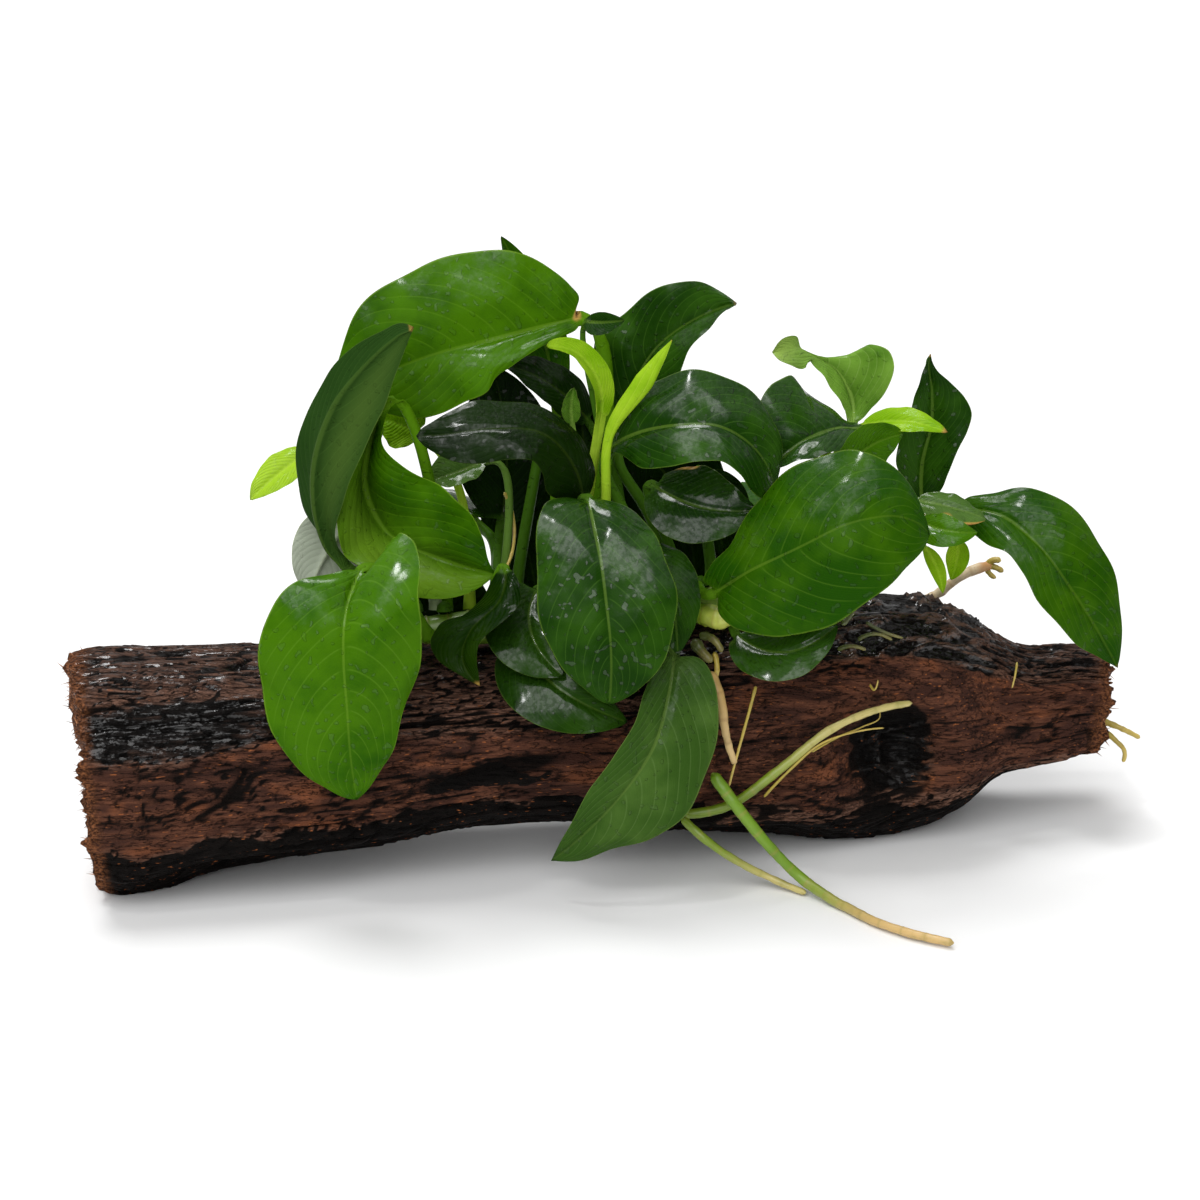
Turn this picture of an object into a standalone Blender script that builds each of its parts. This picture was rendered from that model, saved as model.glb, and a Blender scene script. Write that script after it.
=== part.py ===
"""A small anubias that grows on a piece of driftwood.

Sizes are in millimetres and become metres when a mesh is made. X runs along the log, +Z is up and
the ground is Z = 0. The plant's parts are placed where the photograph shows them, at a depth judged
for each point, from a point of the log under the crown. MIDDLE is where the middle of the ground
that they cover lies, which becomes the origin.
"""

import math

import bmesh
import bpy
import numpy as np

MM = 0.001
TOUCH_GAP = 0.4
MIDDLE = np.array((4.8, -9.5, 0.0))

# The photograph's camera, found from the log's outline: it looks along +Y and down, at a point above
# the log, and shows a millimetre there as four pixels.
PHOTO_PITCH = math.radians(18)
PHOTO_DISTANCE = 583.0
PHOTO_AIM_HEIGHT = 64.0
PIXELS_PER_MM = 4.0
PHOTO_CENTRE = 600.0
GROUND = None

# Base colour and roughness of each finish.
FINISHES = {
    "wood": ((0.045, 0.022, 0.014), 0.5),
    "rhizome": ((0.2, 0.3, 0.04), 0.4),
    "root_green": ((0.3, 0.42, 0.08), 0.4),
    "root_tan": ((0.55, 0.42, 0.2), 0.5),
    "leaf_bright": ((0.1, 0.3, 0.015), 0.3),
    "leaf_fresh": ((0.05, 0.18, 0.012), 0.25),
    "leaf_dark": ((0.015, 0.07, 0.015), 0.2),
    "leaf_light": ((0.13, 0.3, 0.05), 0.3),
    "leaf_lime": ((0.32, 0.55, 0.03), 0.35),
    "leaf_dull": ((0.06, 0.12, 0.05), 0.4),
    "leaf_back": ((0.04, 0.1, 0.035), 0.45),
    "leaf_silver": ((0.42, 0.46, 0.4), 0.45),
}

# The log: its middle line moves back as it runs to the right.
LOG_MIDDLE_Y = -3.0
LOG_SLOPE = 0.195
# X, underside, top and depth of the log, wherever its form changes.
LOG_FORM = np.array((
    (-126, 0.5, 56.5, 42),
    (-119, -2, 58, 44),
    (-108, -1.5, 57.5, 46),
    (-98, 2, 57, 47),
    (-80, 4.5, 56.5, 48),
    (-58, 6, 56, 48),
    (-36, 9.5, 55, 47),
    (-12, 10, 55, 47),
    (17, 5, 57, 48),
    (45, 1.5, 59, 50),
    (62, -1.5, 59.5, 50),
    (78, -1, 58.5, 48),
    (89, 2, 55.5, 45),
    (96, 6, 52, 41),
    (102, 11.5, 48, 37),
    (110, 14, 43.5, 34),
    (122, 16, 43, 32),
    (131.5, 18, 40.5, 29),
))
LOG_RINGS = np.concatenate((np.linspace(-126, 84, 28), np.linspace(90, 131.5, 11)))
LOG_SIDES = 36
LOG_BOXY = 0.85
# Each ridge: degrees round the log from its front over its top, height, half width in degrees,
# drift in degrees for each mm along X.
LOG_RIDGES = (
    (-32, 3.2, 11, 0.02),
    (-8, 1.6, 9, -0.05),
    (17, 2.0, 8, 0.05),
    (40, 1.5, 8, -0.03),
    (66, 1.6, 9, 0.04),
    (112, 1.8, 9, -0.04),
    (140, 2.2, 10, 0.03),
    (172, 2.0, 10, -0.03),
    (203, 2.4, 11, 0.05),
    (236, 2.0, 10, 0.0),
)
RIDGE_WAVE = 17.0
# How strongly each ridge swells and sinks along the log, and how far the next one's waves are shifted.
RIDGE_SWELL = 0.35
RIDGE_SHIFT = 2.1
# Hollows in the front: X, degrees, depth, half length in mm, half width in degrees.
LOG_HOLLOWS = (
    (73, -4, 10.0, 12, 20),
    (-88, -50, 4.0, 30, 16),
    (100, 20, 3.0, 8, 16),
)
# Both broken ends lean out at the top, the left one also at the front, and have a rough edge.
LEFT_END_FROM = -106
LEFT_END_LENGTH = 25
RIGHT_END_FROM = 112
RIGHT_END_LENGTH = 20
END_LEAN = 2.5
END_SLANT = 6.0
END_RAGGED = 0.9
# The broken edge's waves round the log: how many, and how strong each is.
END_WAVES = ((5, 1.0), (9, 0.7), (13, 0.5))

# The rhizome lies along the log's top, a little to the front.
RHIZOME_RADIUS = 4.4
RHIZOME_ANGLE = 84
RHIZOME_LIFT = 6.4
RHIZOME_X = (-46, -33, -20, -6, 8, 22, 36, 50, 62)
RHIZOME_SWELL = (0.75, 1.0, 0.92, 1.0, 0.93, 1.0, 0.92, 0.95, 0.7)
RHIZOME_POINTS = 17
TIP_RADII = (2.2, 2.5, 2.7, 2.8, 2.7, 2.2)
# The rolled new leaf: places along it and its radius there.
SPEAR_AT = (0, 0.35, 0.6, 0.78, 0.93, 1)
SPEAR_RADII = (1.3, 1.3, 2.2, 2.9, 1.6, 0.4)
SPEAR_POINTS = 12
TUBE_ROUNDNESS = 1
GROUND_GAP = 0.2

# The sections of a leaf: their places along the blade, and the points across each, above and below.
BLADE_AT = (0.03, 0.14, 0.34, 0.57, 0.79, 0.93)
SMALL_BLADE_AT = (0.05, 0.28, 0.58, 0.86)
ACROSS = np.array((-1.0, -0.5, 0.0, 0.5, 1.0))
UNDER_ACROSS = np.array((0.5, 0.0, -0.5))
BLADE_THICKNESS = 0.9
TIP_THINNING = 0.4
RIB_DEPTH = 1.2
LOBE_REACH = 0.16
# How far a traced blade arches between midrib and rim, of that distance.
BLADE_ARCH = 0.06
# The lines of a leaf that were measured in the photograph.
TRACED = ("rib", "left", "right")
STALK_RINGS = 5
SMALL_STALK_RINGS = 4
STALK_TURNS = (180, 135, 90, 45, 0, -45, -90, -135)
STALK_FOOT = 1.1
STALK_TAPER = 0.2
STALK_LIFT = np.array((0.0, 0.0, 0.5))
SHARP_ANGLE = math.radians(50)
LEAST_CURL = 1e-3
# The step along a line over which its direction is measured.
NUDGE = 0.01

# What a leaf has when its line in the table doesn't say: fold lifts both halves from the midrib and
# curl bends them on (radians, at base and tip), lobe pulls the base's left and right back past the
# stalk, shape is how blunt the base and the tip are, stalk_r the stalk's radius, reach how far before
# the blade the stalk turns to it, and small leaves have fewer sections.
LEAF_DEFAULTS = {
    "fold": (0.1, 0.1),
    "curl": (-0.1, -0.2),
    "lobe": (0.1, 0.1),
    "shape": (0.55, 0.85),
    "stalk_r": 1.4,
    "reach": 0.35,
    "small": False,
}

# The leaves that the photograph shows. rib is the midrib from base to tip, as picture points with
# their depth, and face is where the upper face looks at the base and on to the tip. wide holds the
# half widths left and right of the midrib, seen on the upper face with the tip up. stalk holds where
# the stalk leaves the rhizome: its X, the angle there (0 front, 90 top, 180 back) and how far it runs
# straight. LEAF_DEFAULTS says what the other words mean. The large leaves have both rims traced
# instead of widths, from base to tip.
LEAVES = (
    dict(name="leaf_front_left",
         rib=((360, 572, -36), (350, 596, -42), (344, 630, -48), (344, 665, -50),
               (347, 710, -50), (351, 760, -47), (357, 800, -44)),
         left=((360, 572, -36), (378, 566, -34), (390, 548, -33), (399, 531, -34),
                (411, 536, -37), (418, 552, -41), (420, 575, -45), (418, 595, -47),
                (422, 625, -47), (421, 655, -46), (413, 690, -45), (400, 722, -45),
                (384, 762, -44), (370, 787, -44), (357, 800, -44)),
         right=((360, 572, -36), (335, 572, -38), (308, 579, -40), (285, 595, -42),
                 (266, 622, -44), (258, 655, -45), (260, 690, -45), (272, 724, -45),
                 (292, 760, -45), (320, 784, -44), (342, 797, -44), (357, 800, -44)),
         face=((0.05, -0.8, 0.6), (0, -1, 0.25), (0, -1, 0.1)), stalk=(-42, 5, 8), tone="fresh"),
    dict(name="leaf_left_dark",
         rib=((345, 562, -12), (322, 520, -13), (318, 470, -13), (335, 410, -13),
               (372, 360, -14), (414, 327, -14)),
         left=((345, 562, -12), (338, 545, -16), (337, 520, -18), (343, 498, -19),
                (356, 466, -19), (370, 440, -18), (380, 415, -18), (390, 388, -17),
                (402, 357, -16), (410, 337, -15), (414, 327, -14)),
         right=((345, 562, -12), (322, 538, -10), (305, 512, -8), (298, 480, -7), (298, 445, -7),
                 (306, 413, -8), (322, 384, -9), (333, 366, -10), (352, 348, -11),
                 (380, 332, -12), (402, 323, -13), (414, 327, -14)),
         face=((0.5, 0.75, 0), (0.45, 0.8, 0.1), (0.2, 0.9, 0.3)), stalk=(-45, 95, 8), tone="back"),
    dict(name="leaf_left_cup",
         rib=((381, 412, -10), (368, 450, -9), (366, 490, -7), (385, 530, -8), (432, 556, -14),
               (496, 574, -18)),
         left=((381, 412, -10), (383, 436, -13), (392, 455, -15), (418, 477, -17),
                (452, 495, -19), (470, 513, -20), (482, 537, -20), (488, 560, -19),
                (496, 574, -18)),
         right=((381, 412, -10), (372, 432, -13), (356, 465, -15), (345, 487, -16),
                 (338, 508, -17), (336, 535, -17), (344, 556, -17), (365, 570, -18),
                 (395, 590, -19), (430, 599, -20), (460, 596, -20), (482, 586, -19),
                 (496, 574, -18)), face=((0.2, -0.9, 0.3), (0.1, -0.9, 0.3), (-0.2, -0.9, 0.4)),
         stalk=(-38, 135, 16), tone="bright"),
    dict(name="leaf_top_left", rib=((577, 318, 11), (505, 335, 6), (425, 357, 3), (342, 392, 3)),
         left=((577, 318, 11), (566, 334, 8), (545, 345, 5), (512, 366, 1), (495, 379, -1),
                (489, 391, -2), (465, 402, -2), (440, 414, -2), (415, 419, -2), (385, 413, -1),
                (358, 404, 1), (342, 392, 3)),
         right=((577, 318, 11), (580, 300, 13), (569, 284, 14), (548, 266, 15), (515, 254, 15),
                 (465, 252, 14), (415, 268, 12), (378, 290, 10), (352, 320, 8), (340, 352, 6),
                 (336, 375, 4), (342, 392, 3)),
         face=((0, -0.9, 0.5), (0, -0.95, 0.35), (-0.1, -0.9, 0.3)), stalk=(-1, 112, 22), stalk_r=1.9,
         reach=0.2, tone="bright"),
    dict(name="leaf_top_back", rib=((556, 400, 20), (535, 310, 26), (501, 236, 24)),
         face=((0.2, -0.9, 0.3), (0, -0.9, 0.5)), wide=(13, 13), curl=(0.1, 0.1), stalk=(-13, 135, 20),
         tone="fresh"),
    dict(name="leaf_top_mid",
         rib=((618, 436, 9), (630, 395, 13), (655, 350, 14), (690, 322, 11), (737, 303, 6)),
         left=((618, 436, 9), (604, 420, 13), (597, 395, 16), (593, 362, 18), (597, 334, 19),
                (620, 315, 19), (645, 295, 18), (672, 284, 16), (700, 282, 13), (720, 291, 9),
                (737, 303, 6)),
         right=((618, 436, 9), (645, 428, 6), (668, 402, 4), (681, 374, 4), (688, 352, 5),
                 (700, 336, 5), (718, 318, 5), (737, 303, 6)),
         face=((-0.3, -0.8, 0.5), (-0.3, -0.8, 0.55), (-0.2, -0.7, 0.6)), stalk=(16, 105, 25),
         tone="dark"),
    dict(name="leaf_top_small", rib=((586, 321, 2), (604, 322, -2), (624, 320, -5)),
         face=((0, -0.9, 0.4),), wide=(2.5, 3.5), curl=(0, 0), stalk=(5, 92, 30), stalk_r=0.8,
         reach=0.1, tone="dark", small=True),
    dict(name="leaf_mid_right",
         rib=((612, 446, -9), (640, 432, -14), (680, 425, -18), (720, 426, -20), (750, 443, -20),
               (775, 488, -17)),
         left=((612, 446, -9), (621, 418, -9), (638, 390, -9), (662, 377, -9), (690, 371, -10),
                (722, 376, -11), (748, 388, -12), (768, 408, -13), (780, 440, -14),
                (775, 488, -17)),
         right=((612, 446, -9), (624, 457, -15), (642, 468, -19), (668, 467, -23),
                 (700, 461, -25), (722, 461, -26), (738, 474, -26), (750, 490, -24),
                 (764, 498, -20), (775, 488, -17)),
         face=((-0.2, -0.7, 0.8), (0, -0.65, 0.8), (0.5, -0.7, 0.5)), stalk=(12, 70, 22), tone="dark"),
    dict(name="leaf_droplet", rib=((860, 428, -2), (835, 428, -5), (805, 440, -9), (767, 471, -12)),
         left=((860, 428, -2), (868, 438, -6), (848, 448, -11), (822, 455, -14), (795, 464, -15),
                (778, 469, -14), (767, 471, -12)),
         right=((860, 428, -2), (842, 418, 2), (820, 400, 4), (803, 388, 4), (793, 373, 3),
                 (776, 382, 0), (762, 398, -4), (755, 418, -8), (757, 442, -10), (767, 471, -12)),
         face=((0.1, -0.6, 0.8), (-0.2, -0.75, 0.6)), stalk=(38, 90, 20), tone="dark"),
    dict(name="leaf_cup_right",
         rib=((853, 420, 13), (851, 396, 17), (838, 372, 19), (815, 357, 17), (795, 348, 14),
               (772, 352, 11)),
         left=((853, 420, 13), (840, 404, 13), (830, 388, 13), (820, 370, 14), (810, 360, 14),
                (803, 369, 11), (790, 366, 9), (778, 359, 9), (772, 352, 11)),
         right=((853, 420, 13), (873, 407, 12), (887, 390, 11), (894, 366, 11), (888, 350, 13),
                 (874, 347, 17), (850, 356, 21), (822, 359, 20), (806, 349, 18), (796, 336, 15),
                 (782, 339, 12), (772, 352, 11)),
         face=((0.2, -0.9, 0.3), (0.1, -0.6, 0.8), (0, -0.35, 0.95)), stalk=(44, 150, 24),
         tone="light"),
    dict(name="leaf_yellow", rib=((862, 425, 3), (902, 420, -4), (948, 432, -9)),
         face=((0, -0.6, 0.8),), wide=(4.5, 4), curl=(-0.2, -0.2), stalk=(48, 80, 20), stalk_r=0.9,
         tone="lime", small=True),
    dict(name="leaf_right_up",
         rib=((922, 502, 10), (922, 465, 10), (932, 420, 11), (932, 390, 10), (929, 364, 7),
               (931, 354, 6)),
         left=((922, 502, 10), (906, 484, 9), (896, 462, 8), (900, 438, 9), (910, 414, 9),
                (916, 392, 8), (921, 374, 6), (928, 361, 6), (931, 354, 6)),
         right=((922, 502, 10), (938, 494, 9), (948, 474, 7), (958, 450, 7), (968, 430, 8),
                 (972, 414, 9), (964, 397, 10), (950, 382, 9), (937, 370, 8), (931, 354, 6)),
         face=((0.1, -0.95, 0.2),), stalk=(53, 140, 16), tone="dark"),
    dict(name="leaf_front_right",
         rib=((716, 592, -23), (745, 574, -28), (800, 546, -33), (860, 520, -34),
               (900, 516, -32), (930, 534, -28)),
         left=((716, 592, -23), (706, 586, -22), (709, 566, -22), (730, 542, -21),
                (757, 507, -20), (783, 475, -20), (810, 458, -21), (845, 448, -22),
                (872, 457, -24), (900, 474, -26), (917, 497, -27), (926, 517, -28),
                (930, 534, -28)),
         right=((716, 592, -23), (718, 610, -26), (736, 627, -29), (762, 635, -32),
                 (790, 636, -34), (820, 630, -36), (852, 613, -37), (880, 593, -37),
                 (904, 572, -35), (922, 552, -32), (930, 534, -28)),
         face=((-0.2, -0.9, 0.4), (0, -0.95, 0.3), (0.2, -0.95, 0.3)), stalk=(24, 65, 4), tone="fresh"),
    dict(name="leaf_behind_right", rib=((842, 470, -14), (872, 446, -10), (904, 434, -6)),
         face=((0.1, -0.9, -0.2),), wide=(7, 7), curl=(0.1, 0.1), stalk=(40, 60, 12), stalk_r=1.2,
         tone="fresh", small=True),
    dict(name="leaf_dried_edge", rib=((918, 500, -5), (950, 506, -8), (987, 519, -9)),
         face=((0, -0.6, 0.8),), wide=(4, 6.5), curl=(-0.2, -0.2), stalk=(60, 70, 12), stalk_r=1,
         tone="dull", small=True),
    dict(name="leaf_right_low", rib=((918, 520, -15), (945, 530, -20), (978, 532, -20)),
         face=((0, -0.8, 0.5),), wide=(4, 4.5), curl=(-0.2, -0.2), stalk=(57, 40, 10), stalk_r=0.9,
         tone="fresh", small=True),
    dict(name="leaf_far_right",
         rib=((958, 512, 2), (1000, 514, -4), (1035, 542, -10), (1070, 586, -15),
               (1095, 625, -15), (1118, 668, -12)),
         left=((958, 512, 2), (968, 499, 3), (1000, 492, 2), (1035, 491, -1), (1063, 501, -4),
                (1088, 524, -7), (1107, 556, -9), (1118, 592, -11), (1122, 635, -12),
                (1118, 668, -12)),
         right=((958, 512, 2), (970, 530, -4), (988, 545, -9), (1008, 553, -13),
                 (1024, 573, -16), (1036, 600, -18), (1056, 622, -19), (1078, 646, -18),
                 (1100, 658, -15), (1118, 668, -12)),
         face=((0.1, -0.8, 0.7), (0.4, -0.8, 0.55), (0.5, -0.85, 0.3)), stalk=(61.5, 97, 8),
         tone="fresh"),
    dict(name="leaf_strip", rib=((925, 548, -8), (937, 568, -10), (943, 594, -11)),
         face=((0, -0.9, 0.3),), wide=(2, 2), curl=(0, 0), stalk=(52, 65, 5), stalk_r=0.7, tone="lime",
         small=True),
    dict(name="leaf_pale_small", rib=((958, 541, 4), (957, 560, 3), (951, 580, 1)),
         face=((0, -0.9, 0.3),), wide=(3, 3), curl=(0, 0), stalk=(61, 140, 5), stalk_r=0.7,
         tone="lime", small=True),
    dict(name="leaf_front_mid",
         rib=((588, 500, -20), (594, 525, -27), (601, 560, -34), (606, 600, -38),
               (611, 650, -42), (609, 705, -40)),
         left=((588, 500, -20), (612, 502, -20), (636, 510, -22), (650, 528, -26),
                (664, 558, -31), (677, 592, -35), (675, 625, -38), (665, 655, -40),
                (648, 680, -41), (628, 697, -41), (609, 705, -40)),
         right=((588, 500, -20), (568, 497, -21), (548, 503, -23), (538, 520, -27),
                 (536, 560, -32), (537, 600, -36), (547, 640, -39), (565, 672, -41),
                 (588, 693, -41), (609, 705, -40)),
         face=((0, -0.6, 0.8), (0, -0.9, 0.45), (0, -0.95, 0.2)), stalk=(-7, 25, 10), tone="dark"),
    dict(name="leaf_behind_mid", rib=((645, 545, -16), (670, 592, -27), (678, 655, -31)),
         face=((0.3, -0.8, 0.5),), wide=(8, 8), stalk=(17, 50, 8), stalk_r=1.2, tone="dark",
         small=True),
    dict(name="leaf_low_mid",
         rib=((674, 656, -27), (668, 700, -35), (655, 745, -41), (612, 806, -45), (551, 861, -42)),
         left=((674, 656, -27), (700, 660, -27), (714, 684, -30), (718, 718, -34),
                (715, 752, -38), (700, 786, -41), (682, 818, -43), (655, 837, -44),
                (618, 850, -44), (582, 860, -43), (551, 861, -42)),
         right=((674, 656, -27), (658, 664, -30), (646, 688, -36), (634, 722, -42),
                 (614, 756, -45), (590, 790, -47), (570, 824, -46), (551, 861, -42)),
         face=((0.1, -0.85, 0.5), (0.2, -0.95, 0.2), (0.1, -1, 0.1)), stalk=(13, 25, 6), tone="dull"),
    dict(name="leaf_curled",
         rib=((505, 570, -21), (500, 598, -27), (470, 632, -31), (462, 655, -33), (480, 686, -36)),
         left=((505, 570, -21), (514, 574, -23), (521, 595, -27), (514, 613, -31),
                (494, 628, -34), (478, 643, -36), (478, 662, -37), (480, 686, -36)),
         right=((505, 570, -21), (492, 580, -21), (482, 602, -22), (462, 616, -24),
                 (438, 624, -27), (430, 640, -30), (438, 660, -33), (458, 674, -35),
                 (480, 686, -36)), face=((0, -0.8, 0.5),), stalk=(-27, 40, 8), stalk_r=1.2,
         tone="fresh"),
    dict(name="leaf_low_left", rib=((537, 590, -14), (531, 632, -26), (563, 676, -35)),
         face=((0, -0.85, 0.5),), wide=(7.5, 11), stalk=(-14, 55, 6), stalk_r=1.2, tone="dark",
         small=True),
    dict(name="leaf_lowest", rib=((520, 640, -19), (556, 686, -34), (628, 722, -36)),
         face=((0, -0.85, 0.5),), wide=(9, 11), stalk=(-12, 30, 6), stalk_r=1.2, tone="dark",
         small=True),
    dict(name="leaf_under_right", rib=((738, 636, -20), (785, 652, -29), (838, 624, -30)),
         face=((0, -0.7, 0.7),), wide=(8, 8), stalk=(34, 30, 6), stalk_r=1.2, tone="dark", small=True),
    dict(name="leaf_between", rib=((655, 486, -8), (700, 506, -15), (758, 510, -18)),
         face=((0, -0.8, 0.5),), wide=(10, 10), stalk=(20, 80, 10), stalk_r=1.2, tone="dark",
         small=True),
    dict(name="leaf_mid_left", rib=((582, 500, -12), (568, 455, -18), (540, 432, -21), (490, 428, -23),
               (450, 434, -23), (416, 436, -22)),
         left=((582, 500, -12), (560, 500, -18), (545, 490, -22), (543, 474, -25),
                (533, 461, -27), (510, 459, -28), (480, 464, -28), (455, 462, -27),
                (435, 453, -25), (422, 444, -23), (416, 436, -22)),
         right=((582, 500, -12), (594, 478, -10), (590, 452, -11), (577, 432, -12),
                 (558, 415, -13), (530, 405, -14), (500, 401, -15), (470, 401, -17),
                 (450, 410, -19), (432, 422, -21), (420, 430, -22), (416, 436, -22)),
         face=((0.3, -0.7, 0.6), (0.1, -0.7, 0.7), (-0.1, -0.6, 0.8)), stalk=(-8, 80, 10), tone="dark"),
    dict(name="leaf_far_left", rib=((308, 452, 14), (282, 470, 11), (250, 500, 6)),
         face=((0, -0.7, 0.7),), wide=(4.5, 5), curl=(-0.2, -0.2), stalk=(-46, 150, 14), stalk_r=0.9,
         tone="lime", small=True),
    dict(name="leaf_pale_back", rib=((352, 516, 2), (328, 550, -1), (308, 598, -5)),
         face=((0.1, 0.9, 0.3),), wide=(9, 10), curl=(0.1, 0.1), stalk=(-40, 110, 10), stalk_r=1.2,
         tone="silver", small=True),
    dict(name="leaf_left_small", rib=((482, 462, 0), (450, 474, -2), (424, 482, -2)),
         face=((0, -0.7, 0.7),), wide=(5, 6), fold=(0.3, 0.3), curl=(0.1, 0.1), stalk=(-24, 80, 12),
         stalk_r=1, tone="dull", small=True),
    dict(name="leaf_left_bright", rib=((418, 433, 12), (400, 424, 12), (376, 418, 12)),
         face=((0, -0.8, 0.6),), wide=(4, 4.5), curl=(0, 0), stalk=(-32, 125, 14), stalk_r=1.1,
         tone="lime", small=True),
    dict(name="leaf_bud", rib=((572, 422, 4), (571, 405, 3), (574, 388, 2)), face=((0, -0.9, 0.3),),
         wide=(2.6, 2.8), fold=(0.4, 0.4), curl=(0.3, 0.3), stalk=(-9.5, 112, 14), stalk_r=0.8,
         tone="light", small=True),
    dict(name="leaf_dark_inner", rib=((588, 420, 14), (548, 382, 12), (500, 362, 10)),
         face=((0, -0.6, 0.8),), wide=(6, 7), curl=(-0.2, -0.2), stalk=(-5, 135, 16), stalk_r=1,
         tone="dark", small=True),
    dict(name="leaf_sheath", rib=((601, 415, -5), (594, 372, -8), (576, 352, -9.5), (546, 346, -11)),
         face=((0.2, -0.9, 0.3), (0, -0.8, 0.5)), wide=(2.2, 3.6), fold=(0.3, 0.3), curl=(0.2, 0.2),
         lobe=(0, 0), shape=(0.4, 0.5), stalk=(-4.6, 86, 20), stalk_r=1.3, tone="lime", small=True),
)

# Leaves behind the crown, which the photograph can't show: their ribs are in mm.
BACK_LEAVES = (
    dict(name="leaf_back_left", rib=((-32, 20, 80), (-48, 32, 84), (-62, 40, 68)),
         face=((-0.2, 0.5, 0.9),), wide=(13, 13), stalk=(-26, 140, 12), tone="dark"),
    dict(name="leaf_back_mid", rib=((-16, 24, 98), (-19, 27, 86), (-22, 27, 64)),
         face=((0, -0.9, 0.3),), wide=(12, 13), stalk=(-21, 150, 14), tone="dark"),
    dict(name="leaf_back_high", rib=((8, 22, 100), (18, 25, 88), (25, 25, 66)), face=((0, -0.9, 0.3),),
         wide=(14, 14), stalk=(8, 150, 20), tone="dark"),
    dict(name="leaf_back_right", rib=((42, 22, 82), (52, 36, 84), (62, 44, 68)),
         face=((0.2, 0.5, 0.9),), wide=(14, 14), stalk=(36, 150, 14), tone="fresh"),
    dict(name="leaf_back_low", rib=((26, 16, 92), (30, 20, 80), (32, 20, 66)), face=((0, -0.9, 0.3),),
         wide=(9, 9), stalk=(28, 120, 8), tone="dark"),
)

# The growing tip of the rhizome and the rolled new leaf, as picture points with their depth.
TIP_PATH = ((690, 610, -11), (708, 615, -16), (732, 621, -20))
SPEAR_PATH = ((608, 600, -10.8), (606, 500, -12), (611, 430, -13), (644, 382, -13), (672, 340, -12))

# The roots: picture points with their depth, or GROUND where they lie on the ground, then the
# radius at both ends, the finish and how many points the curve has.
ROOTS = {
    "root_front_long": (((712, 773, -30), (734, 803, -33), (768, 845, -35), (800, 877, -35),
                         (836, 902, GROUND), (890, 927, GROUND), (954, 943, GROUND)),
                        1.5, 1.0, "root_tan", 16),
    "root_front_green": (((682, 818, -30), (706, 840, -33), (735, 860, -33), (766, 876, -32),
                          (806, 893, GROUND)),
                         1.1, 0.8, "root_green", 10),
    "root_on_log": (((684, 814, -26), (722, 808, -25), (779, 770, -23), (830, 730, -20), (912, 703, -12)),
                    1.3, 0.8, "root_green", 12),
    "root_tan_short": (((708, 672, -24), (720, 700, -28), (726, 735, -29), (735, 764, -28)),
                       1.6, 0.7, "root_tan", 8),
    "root_cream_back": (((915, 604, 30), (940, 592, 34), (961, 576, 34), (992, 565, 36)),
                        1.2, 1.4, "root_tan", 8),
    "root_right_end": (((1100, 720, 22), (1118, 727, 20), (1140, 738, 19)),
                       0.9, 0.6, "root_tan", 6),
    "root_right_fork": (((1104, 731, 20), (1116, 741, 18), (1124, 750, 17), (1123, 762, 17)),
                        0.8, 0.5, "root_tan", 6),
}


def seen(px, py, depth, lift=0.0):
    """The place at this depth (its Y) that the photograph shows here, or on the ground with a lift."""
    focal = PIXELS_PER_MM * PHOTO_DISTANCE
    up = PHOTO_CENTRE - py
    ray = np.array((
        px - PHOTO_CENTRE,
        focal * math.cos(PHOTO_PITCH) + up * math.sin(PHOTO_PITCH),
        up * math.cos(PHOTO_PITCH) - focal * math.sin(PHOTO_PITCH),
    ))
    eye = np.array((
        0.0,
        -PHOTO_DISTANCE * math.cos(PHOTO_PITCH),
        PHOTO_AIM_HEIGHT + PHOTO_DISTANCE * math.sin(PHOTO_PITCH),
    ))
    if depth is GROUND:
        return eye + (lift - eye[2]) / ray[2] * ray
    return eye + (depth - eye[1]) / ray[1] * ray


def unit(vector):
    return vector / np.linalg.norm(vector, axis=-1, keepdims=True)


def smooth(at, knots, values):
    """Reads a smooth curve through the values at the knots."""
    at = np.asarray(at, float)
    knots = np.asarray(knots, float)
    values = np.asarray(values, float)
    slopes = np.gradient(values, knots, axis=0, edge_order=2)
    i = np.clip(np.searchsorted(knots, at, side="right") - 1, 0, len(knots) - 2)
    step = knots[i + 1] - knots[i]
    t = (at - knots[i]) / step
    if values.ndim > 1:
        t = t[..., None]
        step = step[..., None]
    start = (1 + 2 * t) * (1 - t) ** 2 * values[i] + t * (1 - t) ** 2 * step * slopes[i]
    end = t * t * (3 - 2 * t) * values[i + 1] + t * t * (t - 1) * step * slopes[i + 1]
    return start + end


def log_middle(x):
    """Y of the log's middle line."""
    return LOG_MIDDLE_Y + LOG_SLOPE * x


def bark_height(x, angle):
    """How far the wood stands out of the log's plain form."""
    height = np.zeros(np.broadcast(x, angle).shape)
    for k, (place, rise, half_width, drift) in enumerate(LOG_RIDGES):
        off = (angle - place - drift * x + 180) % 360 - 180
        swell = 1 + RIDGE_SWELL * (np.sin(x / RIDGE_WAVE + RIDGE_SHIFT * k) - 1)
        height = height + rise * swell * np.exp(-((off / half_width) ** 2))
    for place_x, place, depth, half_length, half_width in LOG_HOLLOWS:
        off = (angle - place + 180) % 360 - 180
        inside = ((x - place_x) / half_length) ** 2 + (off / half_width) ** 2
        height = height - depth * np.exp(-inside)
    return height


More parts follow.
